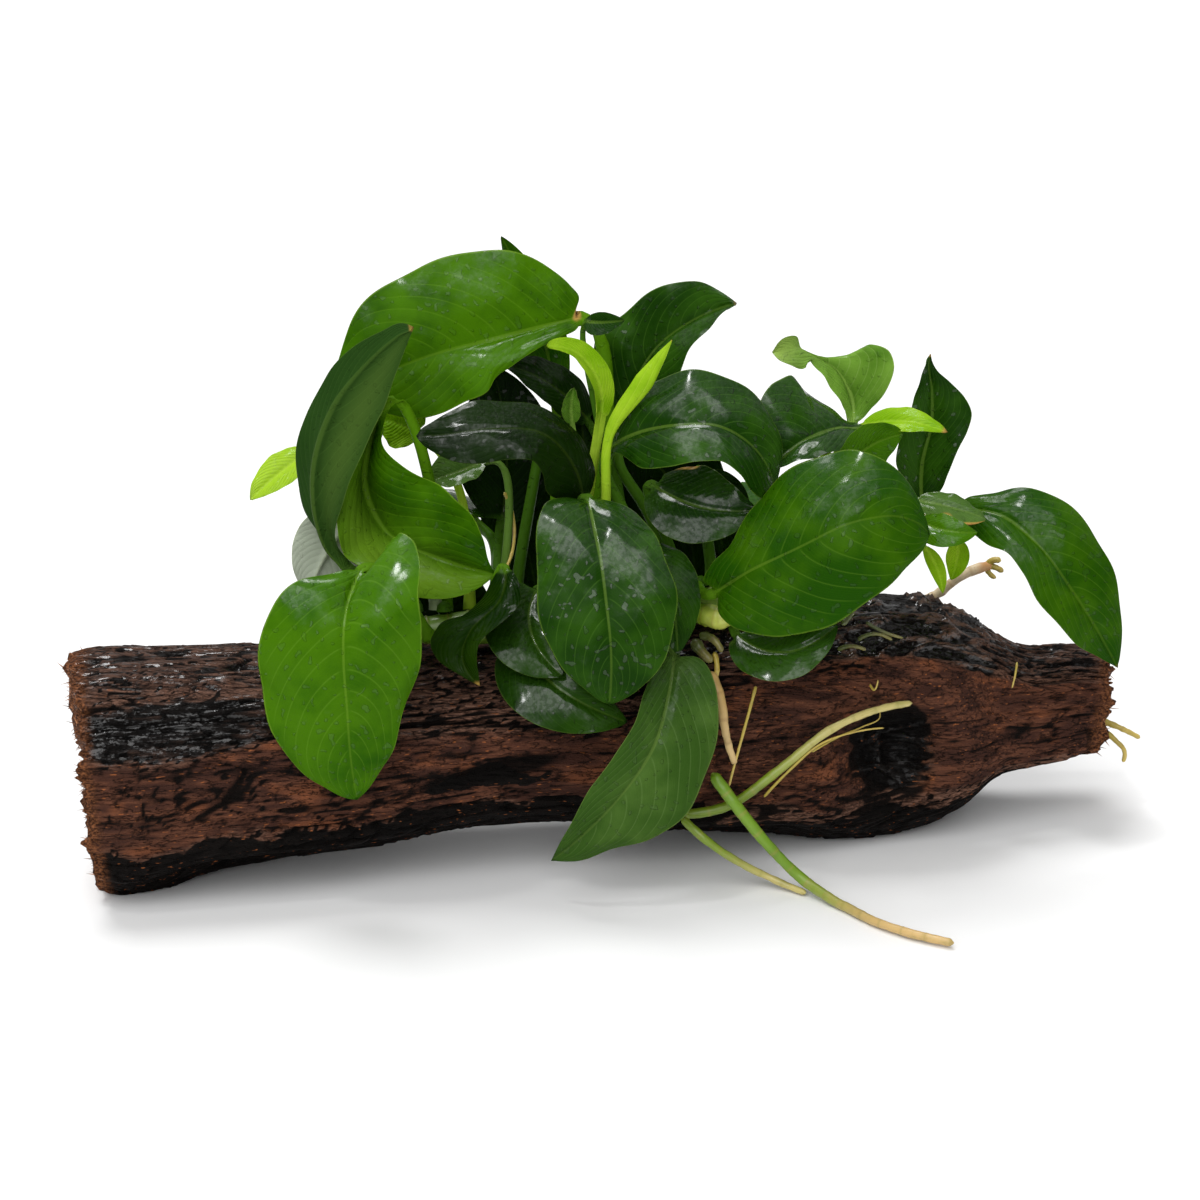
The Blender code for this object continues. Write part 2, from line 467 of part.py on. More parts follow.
def log_at(x, angle, lift=0.0, bark=True):
    """The point of the log at this X and this angle in degrees: 0 is the front, 90 the top."""
    x = np.asarray(x, float)
    angle = np.asarray(angle, float)
    under, top, depth = np.moveaxis(smooth(x, LOG_FORM[:, 0], LOG_FORM[:, 1:]), -1, 0)
    out = lift + (bark_height(x, angle) if bark else 0.0)
    turn = np.radians(angle)
    front = np.sign(np.cos(turn)) * np.abs(np.cos(turn)) ** LOG_BOXY
    up = np.sign(np.sin(turn)) * np.abs(np.sin(turn)) ** LOG_BOXY
    y = log_middle(x) - (depth / 2 + out) * front
    z = (top + under) / 2 + ((top - under) / 2 + out) * up
    return np.stack(np.broadcast_arrays(x, y, z), axis=-1)


def ragged(angle, seed):
    """A rough break, the same on every run."""
    turn = np.radians(angle)
    return sum(strong * np.sin(waves * (turn + seed)) for waves, strong in END_WAVES)


def log_rings():
    """Sections of the log from left to right, with both broken ends leaning out at the top."""
    angle = np.arange(LOG_SIDES) * 360 / LOG_SIDES
    rings = []
    for x in LOG_RINGS:
        ring = log_at(x, angle)
        left = np.clip((LEFT_END_FROM - x) / LEFT_END_LENGTH, 0, 1)
        right = np.clip((x - RIGHT_END_FROM) / RIGHT_END_LENGTH, 0, 1)
        upward = (ring[:, 2] - ring[:, 2].mean()) / np.ptp(ring[:, 2]) * 2
        back = (ring[:, 1] - log_middle(x)) / np.ptp(ring[:, 1]) * 2
        ring[:, 0] += END_LEAN * upward * (right - left) - END_SLANT * back * left
        if x == LOG_RINGS[0]:
            ring[:, 0] += END_RAGGED * ragged(angle, 1.0)
        if x == LOG_RINGS[-1]:
            ring[:, 0] += END_RAGGED * ragged(angle, 2.0)
        ring[:, 2] = np.maximum(ring[:, 2], 0.0)
        rings.append(ring)
    return rings


def rhizome_at(x):
    """The middle of the creeping stem above this X."""
    return log_at(x, RHIZOME_ANGLE, lift=RHIZOME_LIFT, bark=False)


def along_rib(points, at):
    """Points and directions of a leaf's midrib, from 0 at its base to 1 at its tip."""
    points = np.asarray(points, float)
    lengths = np.linalg.norm(np.diff(points, axis=0), axis=1)
    knots = np.concatenate(((0.0,), np.cumsum(lengths))) / lengths.sum()
    ahead = smooth(np.minimum(at + NUDGE, 1.0), knots, points)
    behind = smooth(np.maximum(at - NUDGE, 0.0), knots, points)
    return smooth(at, knots, points), unit(ahead - behind)


def blade_frame(leaf, at):
    """Midrib points with the directions along the leaf, to its right and out of its upper face."""
    middle, along = along_rib(leaf["rib"], at)
    facing = np.asarray(leaf["face"], float)
    if len(facing) == 1:
        facing = np.repeat(facing, 2, axis=0)
    places = np.linspace(0, 1, len(facing))
    face = np.stack([np.interp(at, places, facing[:, k]) for k in range(3)], axis=-1)
    right = unit(np.cross(along, face))
    return middle, along, right, np.cross(right, along)


def outline(leaf, at):
    """Half width of a leaf along its length, 1 at its widest."""
    rounder, point = leaf["shape"]
    widest = rounder / (rounder + point)
    full = widest**rounder * (1 - widest) ** point
    return at**rounder * (1 - at) ** point / full


def traced_points(leaf, at, across):
    """Points of the upper face of a leaf whose rims were traced."""
    middle, _, _, face = blade_frame(leaf, at)
    left = along_rib(leaf["left"], at)[0][:, None]
    right = along_rib(leaf["right"], at)[0][:, None]
    side = np.abs(across)[None, :, None]
    reach = np.where(across[None, :, None] < 0, left, right) - middle[:, None]
    arch = BLADE_ARCH * 4 * side * (1 - side) * np.linalg.norm(reach, axis=-1, keepdims=True)
    return middle[:, None] + side * reach + arch * face[:, None]


def blade_points(leaf, at, across):
    """Points of the upper face: rows from base to tip, columns from the left edge to the right."""
    at = np.asarray(at, float)
    across = np.asarray(across, float)
    if "left" in leaf:
        return traced_points(leaf, at, across)
    middle, along, right, face = blade_frame(leaf, at)
    side = np.abs(across)[None, :]
    width = np.where(across < 0, leaf["wide"][0], leaf["wide"][1])[None, :]
    fold = (leaf["fold"][0] + (leaf["fold"][1] - leaf["fold"][0]) * at)[:, None]
    curl = (leaf["curl"][0] + (leaf["curl"][1] - leaf["curl"][0]) * at)[:, None]
    curl = np.where(np.abs(curl) < LEAST_CURL, LEAST_CURL, curl)
    reach = width * outline(leaf, at)[:, None]
    bend = fold + curl * side
    out = reach * (np.sin(bend) - np.sin(fold)) / curl
    rise = reach * (np.cos(fold) - np.cos(bend)) / curl
    lobes = np.where(across < 0, leaf["lobe"][0], leaf["lobe"][1])[None, :]
    lobe = lobes * width * side**2 * np.exp(-((at[:, None] / LOBE_REACH) ** 2))
    return (
        middle[:, None]
        + (np.sign(across) * out)[..., None] * right[:, None]
        + rise[..., None] * face[:, None]
        - lobe[..., None] * along[:, None]
    )


def stalk_path(leaf):
    """The four points that bend a leaf's stalk, from the rhizome to the base of the blade."""
    x, angle, rise = leaf["stalk"]
    turn = math.radians(angle)
    outward = np.array((0.0, -math.cos(turn), math.sin(turn)))
    start = rhizome_at(x) + (RHIZOME_RADIUS + TOUCH_GAP) * outward
    base, along, _, _ = blade_frame(leaf, np.array((0.0,)))
    reach = leaf["reach"] * np.linalg.norm(base[0] - start)
    return start, start + rise * unit(outward + STALK_LIFT), base[0] - reach * along[0], base[0]


def on_bend(bend, t):
    """Point and direction of a cubic curve."""
    a, b, c, d = bend
    point = (1 - t) ** 3 * a + 3 * t * (1 - t) ** 2 * b + 3 * t * t * (1 - t) * c + t**3 * d
    slope = (1 - t) ** 2 * (b - a) + 2 * t * (1 - t) * (c - b) + t * t * (d - c)
    return point, unit(slope)


def leaf_rings(leaf):
    """Sections from the foot of the stalk to the tip: each has eight points, five of them on top."""
    rings = []
    bend = stalk_path(leaf)
    _, _, base_right, _ = blade_frame(leaf, np.array((0.0,)))
    stalk_rings = SMALL_STALK_RINGS if leaf["small"] else STALK_RINGS
    turns = np.radians(STALK_TURNS)
    for t in np.arange(stalk_rings) / stalk_rings:
        middle, along = on_bend(bend, t)
        right = unit(base_right[0] - np.dot(base_right[0], along) * along)
        face = np.cross(right, along)
        spoke = np.cos(turns)[:, None] * right + np.sin(turns)[:, None] * face
        rings.append(middle + leaf["stalk_r"] * (STALK_FOOT - STALK_TAPER * t) * spoke)
    at = np.array(SMALL_BLADE_AT if leaf["small"] else BLADE_AT)
    upper = blade_points(leaf, at, ACROSS)
    lower = blade_points(leaf, at, UNDER_ACROSS)
    face = blade_frame(leaf, at)[3]
    thin = BLADE_THICKNESS * (1 - TIP_THINNING * at)
    thick = np.stack((thin, thin + RIB_DEPTH * leaf["stalk_r"] * (1 - at), thin), axis=1)
    lower = lower - thick[..., None] * face[:, None]
    rings.extend(np.concatenate((top, bottom)) for top, bottom in zip(upper, lower))
    tip = blade_points(leaf, np.array((1.0,)), np.array((0.0,)))[0, 0]
    return rings, tip


def finish(name):
    """The material of this finish, made once."""
    found = bpy.data.materials.get(name)
    if found:
        return found
    colour, roughness = FINISHES[name]
    made = bpy.data.materials.new(name)
    made.use_nodes = True
    shader = made.node_tree.nodes["Principled BSDF"]
    shader.inputs["Base Color"].default_value = (*colour, 1.0)
    shader.inputs["Roughness"].default_value = roughness
    shader.inputs["Metallic"].default_value = 0.0
    made.diffuse_color = (*colour, 1.0)
    return made


def place(name, data, finish_name):
    """Puts this mesh or curve in the collection under its name."""
    data.materials.append(finish(finish_name))
    made = bpy.data.objects.new(name, data)
    plant.objects.link(made)
    return made


def loft(name, rings, finish_name, tip=None):
    """A closed solid through rings of equally many points, the last end closed to a tip if given."""
    count = len(rings[0])
    points = np.concatenate(rings)
    last = len(points) - count
    faces = [tuple(range(count))]
    for row in range(0, last, count):
        for k in range(count):
            follow = (k + 1) % count
            faces.append((row + k, row + follow, row + count + follow, row + count + k))
    if tip is None:
        faces.append(tuple(range(last, last + count)))
    else:
        points = np.vstack((points, tip))
        faces.extend((last + k, last + (k + 1) % count, len(points) - 1) for k in range(count))
    mesh = bpy.data.meshes.new(name)
    mesh.from_pydata(((points - MIDDLE) * MM).tolist(), [], faces)
    shape = bmesh.new()
    shape.from_mesh(mesh)
    bmesh.ops.recalc_face_normals(shape, faces=shape.faces)
    shape.to_mesh(mesh)
    shape.free()
    mesh.shade_smooth()
    mesh.set_sharp_from_angle(angle=SHARP_ANGLE)
    return place(name, mesh, finish_name)


def tube(name, points, radii, finish_name):
    """A round stem or root along these points."""
    curve = bpy.data.curves.new(name, "CURVE")
    curve.dimensions = "3D"
    curve.bevel_depth = MM
    curve.bevel_resolution = TUBE_ROUNDNESS
    curve.use_fill_caps = True
    spline = curve.splines.new("POLY")
    spline.points.add(len(points) - 1)
    for place_on, point, radius in zip(spline.points, points, radii):
        place_on.co = (*((np.asarray(point) - MIDDLE) * MM), 1.0)
        place_on.radius = radius
    return place(name, curve, finish_name)


def smooth_path(points, count):
    """Evenly spaced points on a smooth line through these."""
    return along_rib(points, np.linspace(0, 1, count))[0]


def make_root(name, path, thick, thin, finish_name, count):
    """A bare root, which lies on the ground where it reaches it."""
    points = smooth_path([seen(*point, lift=thick) for point in path], count)
    radii = np.linspace(thick, thin, count)
    points[:, 2] = np.maximum(points[:, 2], radii + GROUND_GAP)
    return tube(name, points, radii, finish_name)


def make_rhizome():
    """The creeping stem, swollen and pinched where old leaves stood."""
    middle = smooth_path([rhizome_at(x) for x in RHIZOME_X], RHIZOME_POINTS)
    at = np.linspace(0, len(RHIZOME_SWELL) - 1, RHIZOME_POINTS)
    swell = np.interp(at, np.arange(len(RHIZOME_SWELL)), RHIZOME_SWELL)
    tube("rhizome", middle, swell * RHIZOME_RADIUS, "rhizome")


def make_tips():
    """The rhizome's growing tip and the rolled new leaf."""
    points = smooth_path([seen(*point) for point in TIP_PATH], len(TIP_RADII))
    tube("rhizome_tip", points, TIP_RADII, "leaf_lime")
    points = smooth_path([seen(*point) for point in SPEAR_PATH], SPEAR_POINTS)
    radii = np.interp(np.linspace(0, 1, SPEAR_POINTS), SPEAR_AT, SPEAR_RADII)
    tube("new_leaf", points, radii, "leaf_lime")


def make_leaf(leaf):
    """One leaf, stalk and blade in one."""
    leaf = {**LEAF_DEFAULTS, **leaf}
    rings, tip = leaf_rings(leaf)
    return loft(leaf["name"], rings, "leaf_" + leaf["tone"], tip)


for old in list(bpy.data.objects):
    bpy.data.objects.remove(old, do_unlink=True)
plant = bpy.data.collections.new("anubias_on_driftwood")
bpy.context.scene.collection.children.link(plant)

loft("driftwood", log_rings(), "wood")
make_rhizome()
make_tips()
for leaf in LEAVES:
    lines = {word: [seen(*point) for point in leaf[word]] for word in TRACED if word in leaf}
    make_leaf({**leaf, **lines})
for leaf in BACK_LEAVES:
    make_leaf(leaf)
for name, how in ROOTS.items():
    make_root(name, *how)
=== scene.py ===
# %% [markdown]
# # A small anubias on driftwood
#
# Anubias is a slow water plant. A creeping stem, the rhizome, holds on to a piece of wood with its
# roots and sends up leathery leaves one after the other. The solids of the part say how large it all
# is and where each leaf stands. This notebook dresses them: every leaf gets its veins, its wavy rim
# and its wet gloss, the log gets its furrows, and the roots and fibres are added.

# %% Load the solids of the part
import math

import bmesh
import bpy
import numpy as np
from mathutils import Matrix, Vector


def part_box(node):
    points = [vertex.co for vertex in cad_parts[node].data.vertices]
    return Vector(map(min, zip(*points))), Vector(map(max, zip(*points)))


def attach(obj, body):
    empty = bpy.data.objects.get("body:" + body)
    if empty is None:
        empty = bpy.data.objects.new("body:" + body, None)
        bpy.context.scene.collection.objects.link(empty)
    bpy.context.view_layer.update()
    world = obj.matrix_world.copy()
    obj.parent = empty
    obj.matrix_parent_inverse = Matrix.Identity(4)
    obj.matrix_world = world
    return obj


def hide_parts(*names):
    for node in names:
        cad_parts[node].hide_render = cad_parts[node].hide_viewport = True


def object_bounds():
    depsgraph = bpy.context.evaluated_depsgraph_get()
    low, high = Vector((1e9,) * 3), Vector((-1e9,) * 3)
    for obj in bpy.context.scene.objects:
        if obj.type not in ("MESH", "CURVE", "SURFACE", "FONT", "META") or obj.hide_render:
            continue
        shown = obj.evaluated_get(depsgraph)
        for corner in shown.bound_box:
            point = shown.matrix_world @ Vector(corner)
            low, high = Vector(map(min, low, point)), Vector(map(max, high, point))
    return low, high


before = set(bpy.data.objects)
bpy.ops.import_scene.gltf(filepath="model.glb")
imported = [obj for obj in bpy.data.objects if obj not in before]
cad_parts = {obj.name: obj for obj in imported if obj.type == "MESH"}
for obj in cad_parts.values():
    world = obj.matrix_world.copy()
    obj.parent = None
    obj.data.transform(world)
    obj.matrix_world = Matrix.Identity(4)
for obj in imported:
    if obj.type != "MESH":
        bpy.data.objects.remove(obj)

cad_box = [list(map(float, corner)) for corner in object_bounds()]
print("solids:", len(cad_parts), "nodes, box in metres:", cad_box)

# %% [markdown]
# ## Units, and places read from the photograph
#
# Everything is worked out in millimetres and becomes metres when a mesh is made. The plant has no
# regular shape, so its places were measured in the photograph: a picture point, and a depth that was
# judged from what covers what. `seen` turns the two into a place. The same function, with the same
# numbers, placed the solids, so every dressed leaf lies where its solid is.

# %% Millimetres, and the photograph's camera
MM = 0.001
MIDDLE = np.array((4.8, -9.5, 0.0))
PHOTO_PITCH = math.radians(18)
PHOTO_DISTANCE = 583.0
PHOTO_AIM_HEIGHT = 64.0
PIXELS_PER_MM = 4.0
PHOTO_CENTRE = 600.0
PHOTO_SIZE = 1200.0
GROUND = None
NUDGE = 0.01
EYE = np.array((
    0.0,
    -PHOTO_DISTANCE * math.cos(PHOTO_PITCH),
    PHOTO_AIM_HEIGHT + PHOTO_DISTANCE * math.sin(PHOTO_PITCH),
))


def seen(px, py, depth, lift=0.0):
    """The place at this depth (its Y) that the photograph shows here, or on the ground with a lift."""
    focal = PIXELS_PER_MM * PHOTO_DISTANCE
    up = PHOTO_CENTRE - py
    ray = np.array((
        px - PHOTO_CENTRE,
        focal * math.cos(PHOTO_PITCH) + up * math.sin(PHOTO_PITCH),
        up * math.cos(PHOTO_PITCH) - focal * math.sin(PHOTO_PITCH),
    ))
    if depth is GROUND:
        return EYE + (lift - EYE[2]) / ray[2] * ray
    return EYE + (depth - EYE[1]) / ray[1] * ray


def unit(vector):
    return vector / np.linalg.norm(vector, axis=-1, keepdims=True)


def smooth(at, knots, values):
    """Reads a smooth curve through the values at the knots."""
    at = np.asarray(at, float)
    knots = np.asarray(knots, float)
    values = np.asarray(values, float)
    slopes = np.gradient(values, knots, axis=0, edge_order=2)
    i = np.clip(np.searchsorted(knots, at, side="right") - 1, 0, len(knots) - 2)
    step = knots[i + 1] - knots[i]
    t = (at - knots[i]) / step
    if values.ndim > 1:
        t = t[..., None]
        step = step[..., None]
    start = (1 + 2 * t) * (1 - t) ** 2 * values[i] + t * (1 - t) ** 2 * step * slopes[i]
    end = t * t * (3 - 2 * t) * values[i + 1] + t * t * (t - 1) * step * slopes[i + 1]
    return start + end


def along_rib(points, at):
    """Points and directions of a smooth line, from 0 at its start to 1 at its end."""
    points = np.asarray(points, float)
    lengths = np.linalg.norm(np.diff(points, axis=0), axis=1)
    knots = np.concatenate(((0.0,), np.cumsum(lengths))) / lengths.sum()
    ahead = smooth(np.minimum(at + NUDGE, 1.0), knots, points)
    behind = smooth(np.maximum(at - NUDGE, 0.0), knots, points)
    return smooth(at, knots, points), unit(ahead - behind)


def ease(value, low, high):
    """0 below low, 1 above high, and smooth between."""
    t = np.clip((value - low) / (high - low), 0.0, 1.0)
    return t * t * (3 - 2 * t)


print("the camera stands", round(EYE[2]), "mm above the ground")

# %% [markdown]
# ## Noise for shapes
#
# Bark and leaf surfaces need bumps that never repeat but come out the same on every run. Value noise
# does that: every corner of a grid gets a number from a hash of its place, and the numbers are blended
# inside each cell. Blender's own noise works point by point, which is slow in Python for a hundred
# thousand points, so this one works on whole arrays.

# %% Value noise on arrays
HASH_STEPS = (73856093, 19349663, 83492791, 2654435)
HASH_MASK = 0xFFFFF


def corner_value(cell, seed):
    """A fixed number from -1 to 1 for each cell."""
    mixed = cell[..., 0] * HASH_STEPS[0] ^ cell[..., 1] * HASH_STEPS[1] ^ cell[..., 2] * HASH_STEPS[2]
    mixed = (mixed ^ (seed * HASH_STEPS[3])) & HASH_MASK
    mixed = (mixed * 1103515245 + 12345) & 0x7FFFFFFF
    mixed = ((mixed >> 7) * 1664525 + 1013904223) & 0x7FFFFFFF
    return (mixed >> 5) / (0x7FFFFFFF >> 6) - 1.0


def noise(points, seed=0):
    """Smooth values from -1 to 1, with bumps about one unit apart."""
    cell = np.floor(points).astype(np.int64)
    part = points - cell
    part = part * part * (3 - 2 * part)
    total = 0.0
    for corner in np.ndindex(2, 2, 2):
        corner = np.array(corner)
        share = np.where(corner == 1, part, 1 - part).prod(axis=-1)
        total = total + share * corner_value(cell + corner, seed)
    return total


def ridges(points, seed=0):
    """Sharp valleys where the noise crosses zero: 0 in a valley, 1 on the broad tops."""
    return np.minimum(np.abs(noise(points, seed)) * 2.6, 1.0)


sample = noise(np.random.default_rng(1).uniform(-50, 50, (2000, 3)))
print("noise runs from", sample.min().round(2), "to", sample.max().round(2))

# %% [markdown]
# ## Writing node graphs as sums
#
# Materials and growth rules are graphs of nodes, and a graph that is built one link at a time is hard
# to read. Here a small class wraps a socket, so that `1 - furrow * 0.5` adds the Math nodes itself.
# Every other node comes from one method, `add`, which takes the node's type, its settings, and the
# values or links of its sockets.

# %% A small language for node graphs
class Socket:
    """A value in a graph that Python can calculate with."""

    def __init__(self, graph, socket):
        self.graph = graph
        self.socket = socket

    def maths(self, operation, *values):
        return self.graph.add("ShaderNodeMath", {"operation": operation}, *values)

    def __add__(self, other):
        return self.maths("ADD", self, other)

    def __radd__(self, other):
        return self.maths("ADD", other, self)

    def __sub__(self, other):
        return self.maths("SUBTRACT", self, other)

    def __rsub__(self, other):
        return self.maths("SUBTRACT", other, self)

    def __mul__(self, other):
        return self.maths("MULTIPLY", self, other)

    def __rmul__(self, other):
        return self.maths("MULTIPLY", other, self)

    def __truediv__(self, other):
        return self.maths("DIVIDE", self, other)

    def __rtruediv__(self, other):
        return self.maths("DIVIDE", other, self)

    def __pow__(self, other):
        return self.maths("POWER", self, other)

    def sine(self):
        return self.maths("SINE", self)

    def size(self):
        return self.maths("ABSOLUTE", self)

    def fade(self, low, high):
        """0 below low, 1 above high, smooth between."""
        settings = {"interpolation_type": "SMOOTHSTEP"}
        return self.graph.add("ShaderNodeMapRange", settings, self, low, high, 0.0, 1.0)


class Graph:
    """A tree of nodes while it is being built."""

    def __init__(self, tree):
        self.nodes = tree.nodes
        self.links = tree.links

    def give(self, target, value):
        """Links a socket to its input, or sets the input to a plain value."""
        if isinstance(value, Socket):
            self.links.new(value.socket, target)
        elif value is not None:
            target.default_value = value

    def add(self, kind, settings=None, *values, output=0, **named):
        """Adds a node of this type with its settings, then its inputs in order or by name."""
        node = self.nodes.new(kind)
        for word, setting in (settings or {}).items():
            setattr(node, word, setting)
        for target, value in zip(node.inputs, values):
            self.give(target, value)
        for word, value in named.items():
            self.give(node.inputs[word.replace("_", " ")], value)
        return Socket(self, node.outputs[output])


def srgb(red, green, blue):
    """A colour as it looks on a screen, from 0 to 255, as the linear numbers that a shader needs."""
    def linear(value):
        value = value / 255
        return value / 12.92 if value <= 0.04045 else ((value + 0.055) / 1.055) ** 2.4
    return (linear(red), linear(green), linear(blue), 1.0)


class Paint(Graph):
    """A material while it is being mixed."""

    def __init__(self, name, mirror=0.5, coat_roughness=0.1):
        self.material = bpy.data.materials.new(name)
        self.material.use_nodes = True
        super().__init__(self.material.node_tree)
        self.shader = self.nodes["Principled BSDF"]
        self.shader.inputs["Specular IOR Level"].default_value = mirror
        self.shader.inputs["Coat Roughness"].default_value = coat_roughness

    def mix(self, share, first, second, blend="MIX"):
        """The first colour, turned into the second by this share."""
        settings = {"data_type": "RGBA", "blend_type": blend, "clamp_factor": True}
        unused = (None,) * 5
        return self.add("ShaderNodeMix", settings, share, *unused, first, second, output=2)

    def number(self, word):
        """A number stored on the mesh."""
        return self.add("ShaderNodeAttribute", {"attribute_name": word}, output=2)

    def place(self, *stretch):
        """The place on the piece, counted in patterns of this many millimetres each way."""
        factors = tuple(1 / (MM * length) for length in stretch)
        coordinates = self.add("ShaderNodeTexCoord", output=3)
        return self.add("ShaderNodeVectorMath", {"operation": "MULTIPLY"}, coordinates, factors)

    def clouds(self, *stretch, detail=2.0, roughness=0.5):
        """Soft noise from 0 to 1 with patches of this size in millimetres."""
        place = self.place(*stretch)
        return self.add("ShaderNodeTexNoise", Vector=place, Scale=1.0, Detail=detail, Roughness=roughness)

    def bump(self, height, depth, under=None):
        """A normal that follows a height from 0 to 1, which stands for this depth in millimetres."""
        return self.add("ShaderNodeBump", Height=height, Distance=depth * MM, Normal=under)

    def finish(self, **sockets):
        """Feeds the shader and gives the material."""
        for word, value in sockets.items():
            self.give(self.shader.inputs[word.replace("_", " ").title()], value)
        return self.material


print("orange-brown in linear numbers:", [round(value, 3) for value in srgb(150, 90, 45)])

# %% [markdown]
# ## The driftwood log
#
# The log is a piece of hardwood that lay in water until only its hard fibres stood out. Its form
# could be sculpted by hand, but it follows a rule well enough: sections along a leaning middle line,
# a little boxy, with a few ridges that run its length and a rotted hollow in front. That much is in
# the solid. Here the same sections are cut much finer, and furrows, cracks and fibres are added as
# real shape, because they show in the outline and in every grazing light.

# %% The log's plain form, as in its solid
LOG_MIDDLE_Y = -3.0
LOG_SLOPE = 0.195
# X, underside, top and depth of the log, wherever its form changes.
LOG_FORM = np.array((
    (-126, 0.5, 56.5, 42),
    (-119, -2, 58, 44),
    (-108, -1.5, 57.5, 46),
    (-98, 2, 57, 47),
    (-80, 4.5, 56.5, 48),
    (-58, 6, 56, 48),
    (-36, 9.5, 55, 47),
    (-12, 10, 55, 47),
    (17, 5, 57, 48),
    (45, 1.5, 59, 50),
    (62, -1.5, 59.5, 50),
    (78, -1, 58.5, 48),
    (89, 2, 55.5, 45),
    (96, 6, 52, 41),
    (102, 11.5, 48, 37),
    (110, 14, 43.5, 34),
    (122, 16, 43, 32),
    (131.5, 18, 40.5, 29),
))
LOG_BOXY = 0.85
# Each ridge: degrees round the log from its front over its top, height, half width in degrees,
# drift in degrees for each mm along X.
LOG_RIDGES = (
    (-32, 3.2, 11, 0.02),
    (-8, 1.6, 9, -0.05),
    (17, 2.0, 8, 0.05),
    (40, 1.5, 8, -0.03),
    (66, 1.6, 9, 0.04),
    (112, 1.8, 9, -0.04),
    (140, 2.2, 10, 0.03),
    (172, 2.0, 10, -0.03),
    (203, 2.4, 11, 0.05),
    (236, 2.0, 10, 0.0),
)
RIDGE_WAVE = 17.0
# How strongly each ridge swells and sinks along the log, and how far the next one's waves are shifted.
RIDGE_SWELL = 0.35
RIDGE_SHIFT = 2.1
# Hollows in the front: X, degrees, depth, half length in mm, half width in degrees.
LOG_HOLLOWS = (
    (73, -4, 10.0, 12, 20),
    (-88, -50, 4.0, 30, 16),
    (100, 20, 3.0, 8, 16),
)
# Both broken ends lean out at the top, the left one also at the front, and have a rough edge.
LEFT_END_FROM = -106
LEFT_END_LENGTH = 25
RIGHT_END_FROM = 112
RIGHT_END_LENGTH = 20
END_LEAN = 2.5
END_SLANT = 6.0
END_RAGGED = 0.9
# The broken edge's waves round the log: how many, and how strong each is.
END_WAVES = ((5, 1.0), (9, 0.7), (13, 0.5))


def log_middle(x):
    """Y of the log's middle line."""
    return LOG_MIDDLE_Y + LOG_SLOPE * x


def bark_height(x, angle):
    """How far the wood stands out of the log's plain form."""
    height = np.zeros(np.broadcast(x, angle).shape)
    for k, (place, rise, half_width, drift) in enumerate(LOG_RIDGES):
        off = (angle - place - drift * x + 180) % 360 - 180
        swell = 1 + RIDGE_SWELL * (np.sin(x / RIDGE_WAVE + RIDGE_SHIFT * k) - 1)
        height = height + rise * swell * np.exp(-((off / half_width) ** 2))
    for place_x, place, depth, half_length, half_width in LOG_HOLLOWS:
        off = (angle - place + 180) % 360 - 180
        inside = ((x - place_x) / half_length) ** 2 + (off / half_width) ** 2
        height = height - depth * np.exp(-inside)
    return height


def log_at(x, angle, lift=0.0, bark=True):
    """The point of the log at this X and this angle in degrees: 0 is the front, 90 the top."""
    x = np.asarray(x, float)
    angle = np.asarray(angle, float)
    under, top, depth = np.moveaxis(smooth(x, LOG_FORM[:, 0], LOG_FORM[:, 1:]), -1, 0)
    out = lift + (bark_height(x, angle) if bark else 0.0)
    turn = np.radians(angle)
    front = np.sign(np.cos(turn)) * np.abs(np.cos(turn)) ** LOG_BOXY
    up = np.sign(np.sin(turn)) * np.abs(np.sin(turn)) ** LOG_BOXY
    y = log_middle(x) - (depth / 2 + out) * front
    z = (top + under) / 2 + ((top - under) / 2 + out) * up
    return np.stack(np.broadcast_arrays(x, y, z), axis=-1)


def ragged(angle, seed):
    """A rough break, the same on every run."""
    turn = np.radians(angle)
    return sum(strong * np.sin(waves * (turn + seed)) for waves, strong in END_WAVES)


print("the log is", LOG_FORM[-1, 0] - LOG_FORM[0, 0], "mm long between its broken ends")

# %% [markdown]
# ## Where the wood is wet, warm, dark or rotted, and where shade is painted on it
#
# The log has bands along it: a wet, rippled top, a red-brown face that was rubbed smooth, and an
# underside painted black as the shade under the log. Round the crown's right end the top has rotted
# to dripping wet lumps, and in front of it lies a rotted hollow, painted dark as the shade inside it.
# The bands decide the shape of the surface as well as its colour, so they come first.
# Each is a range of angles whose edge wanders with noise. The noise is read on a cylinder and not on a
# flat sheet, so it closes round the log without a seam.

# %% The zones of the wood
GRAIN_RADIUS = 27.0


def round_grain(x, angle, length, width):
    """Where noise is read, so that it stretches along the log and closes round it."""
    turn = np.radians(angle)
    return np.stack(np.broadcast_arrays(
        x / length,
        GRAIN_RADIUS * np.cos(turn) / width,
        GRAIN_RADIUS * np.sin(turn) / width,
    ), axis=-1)


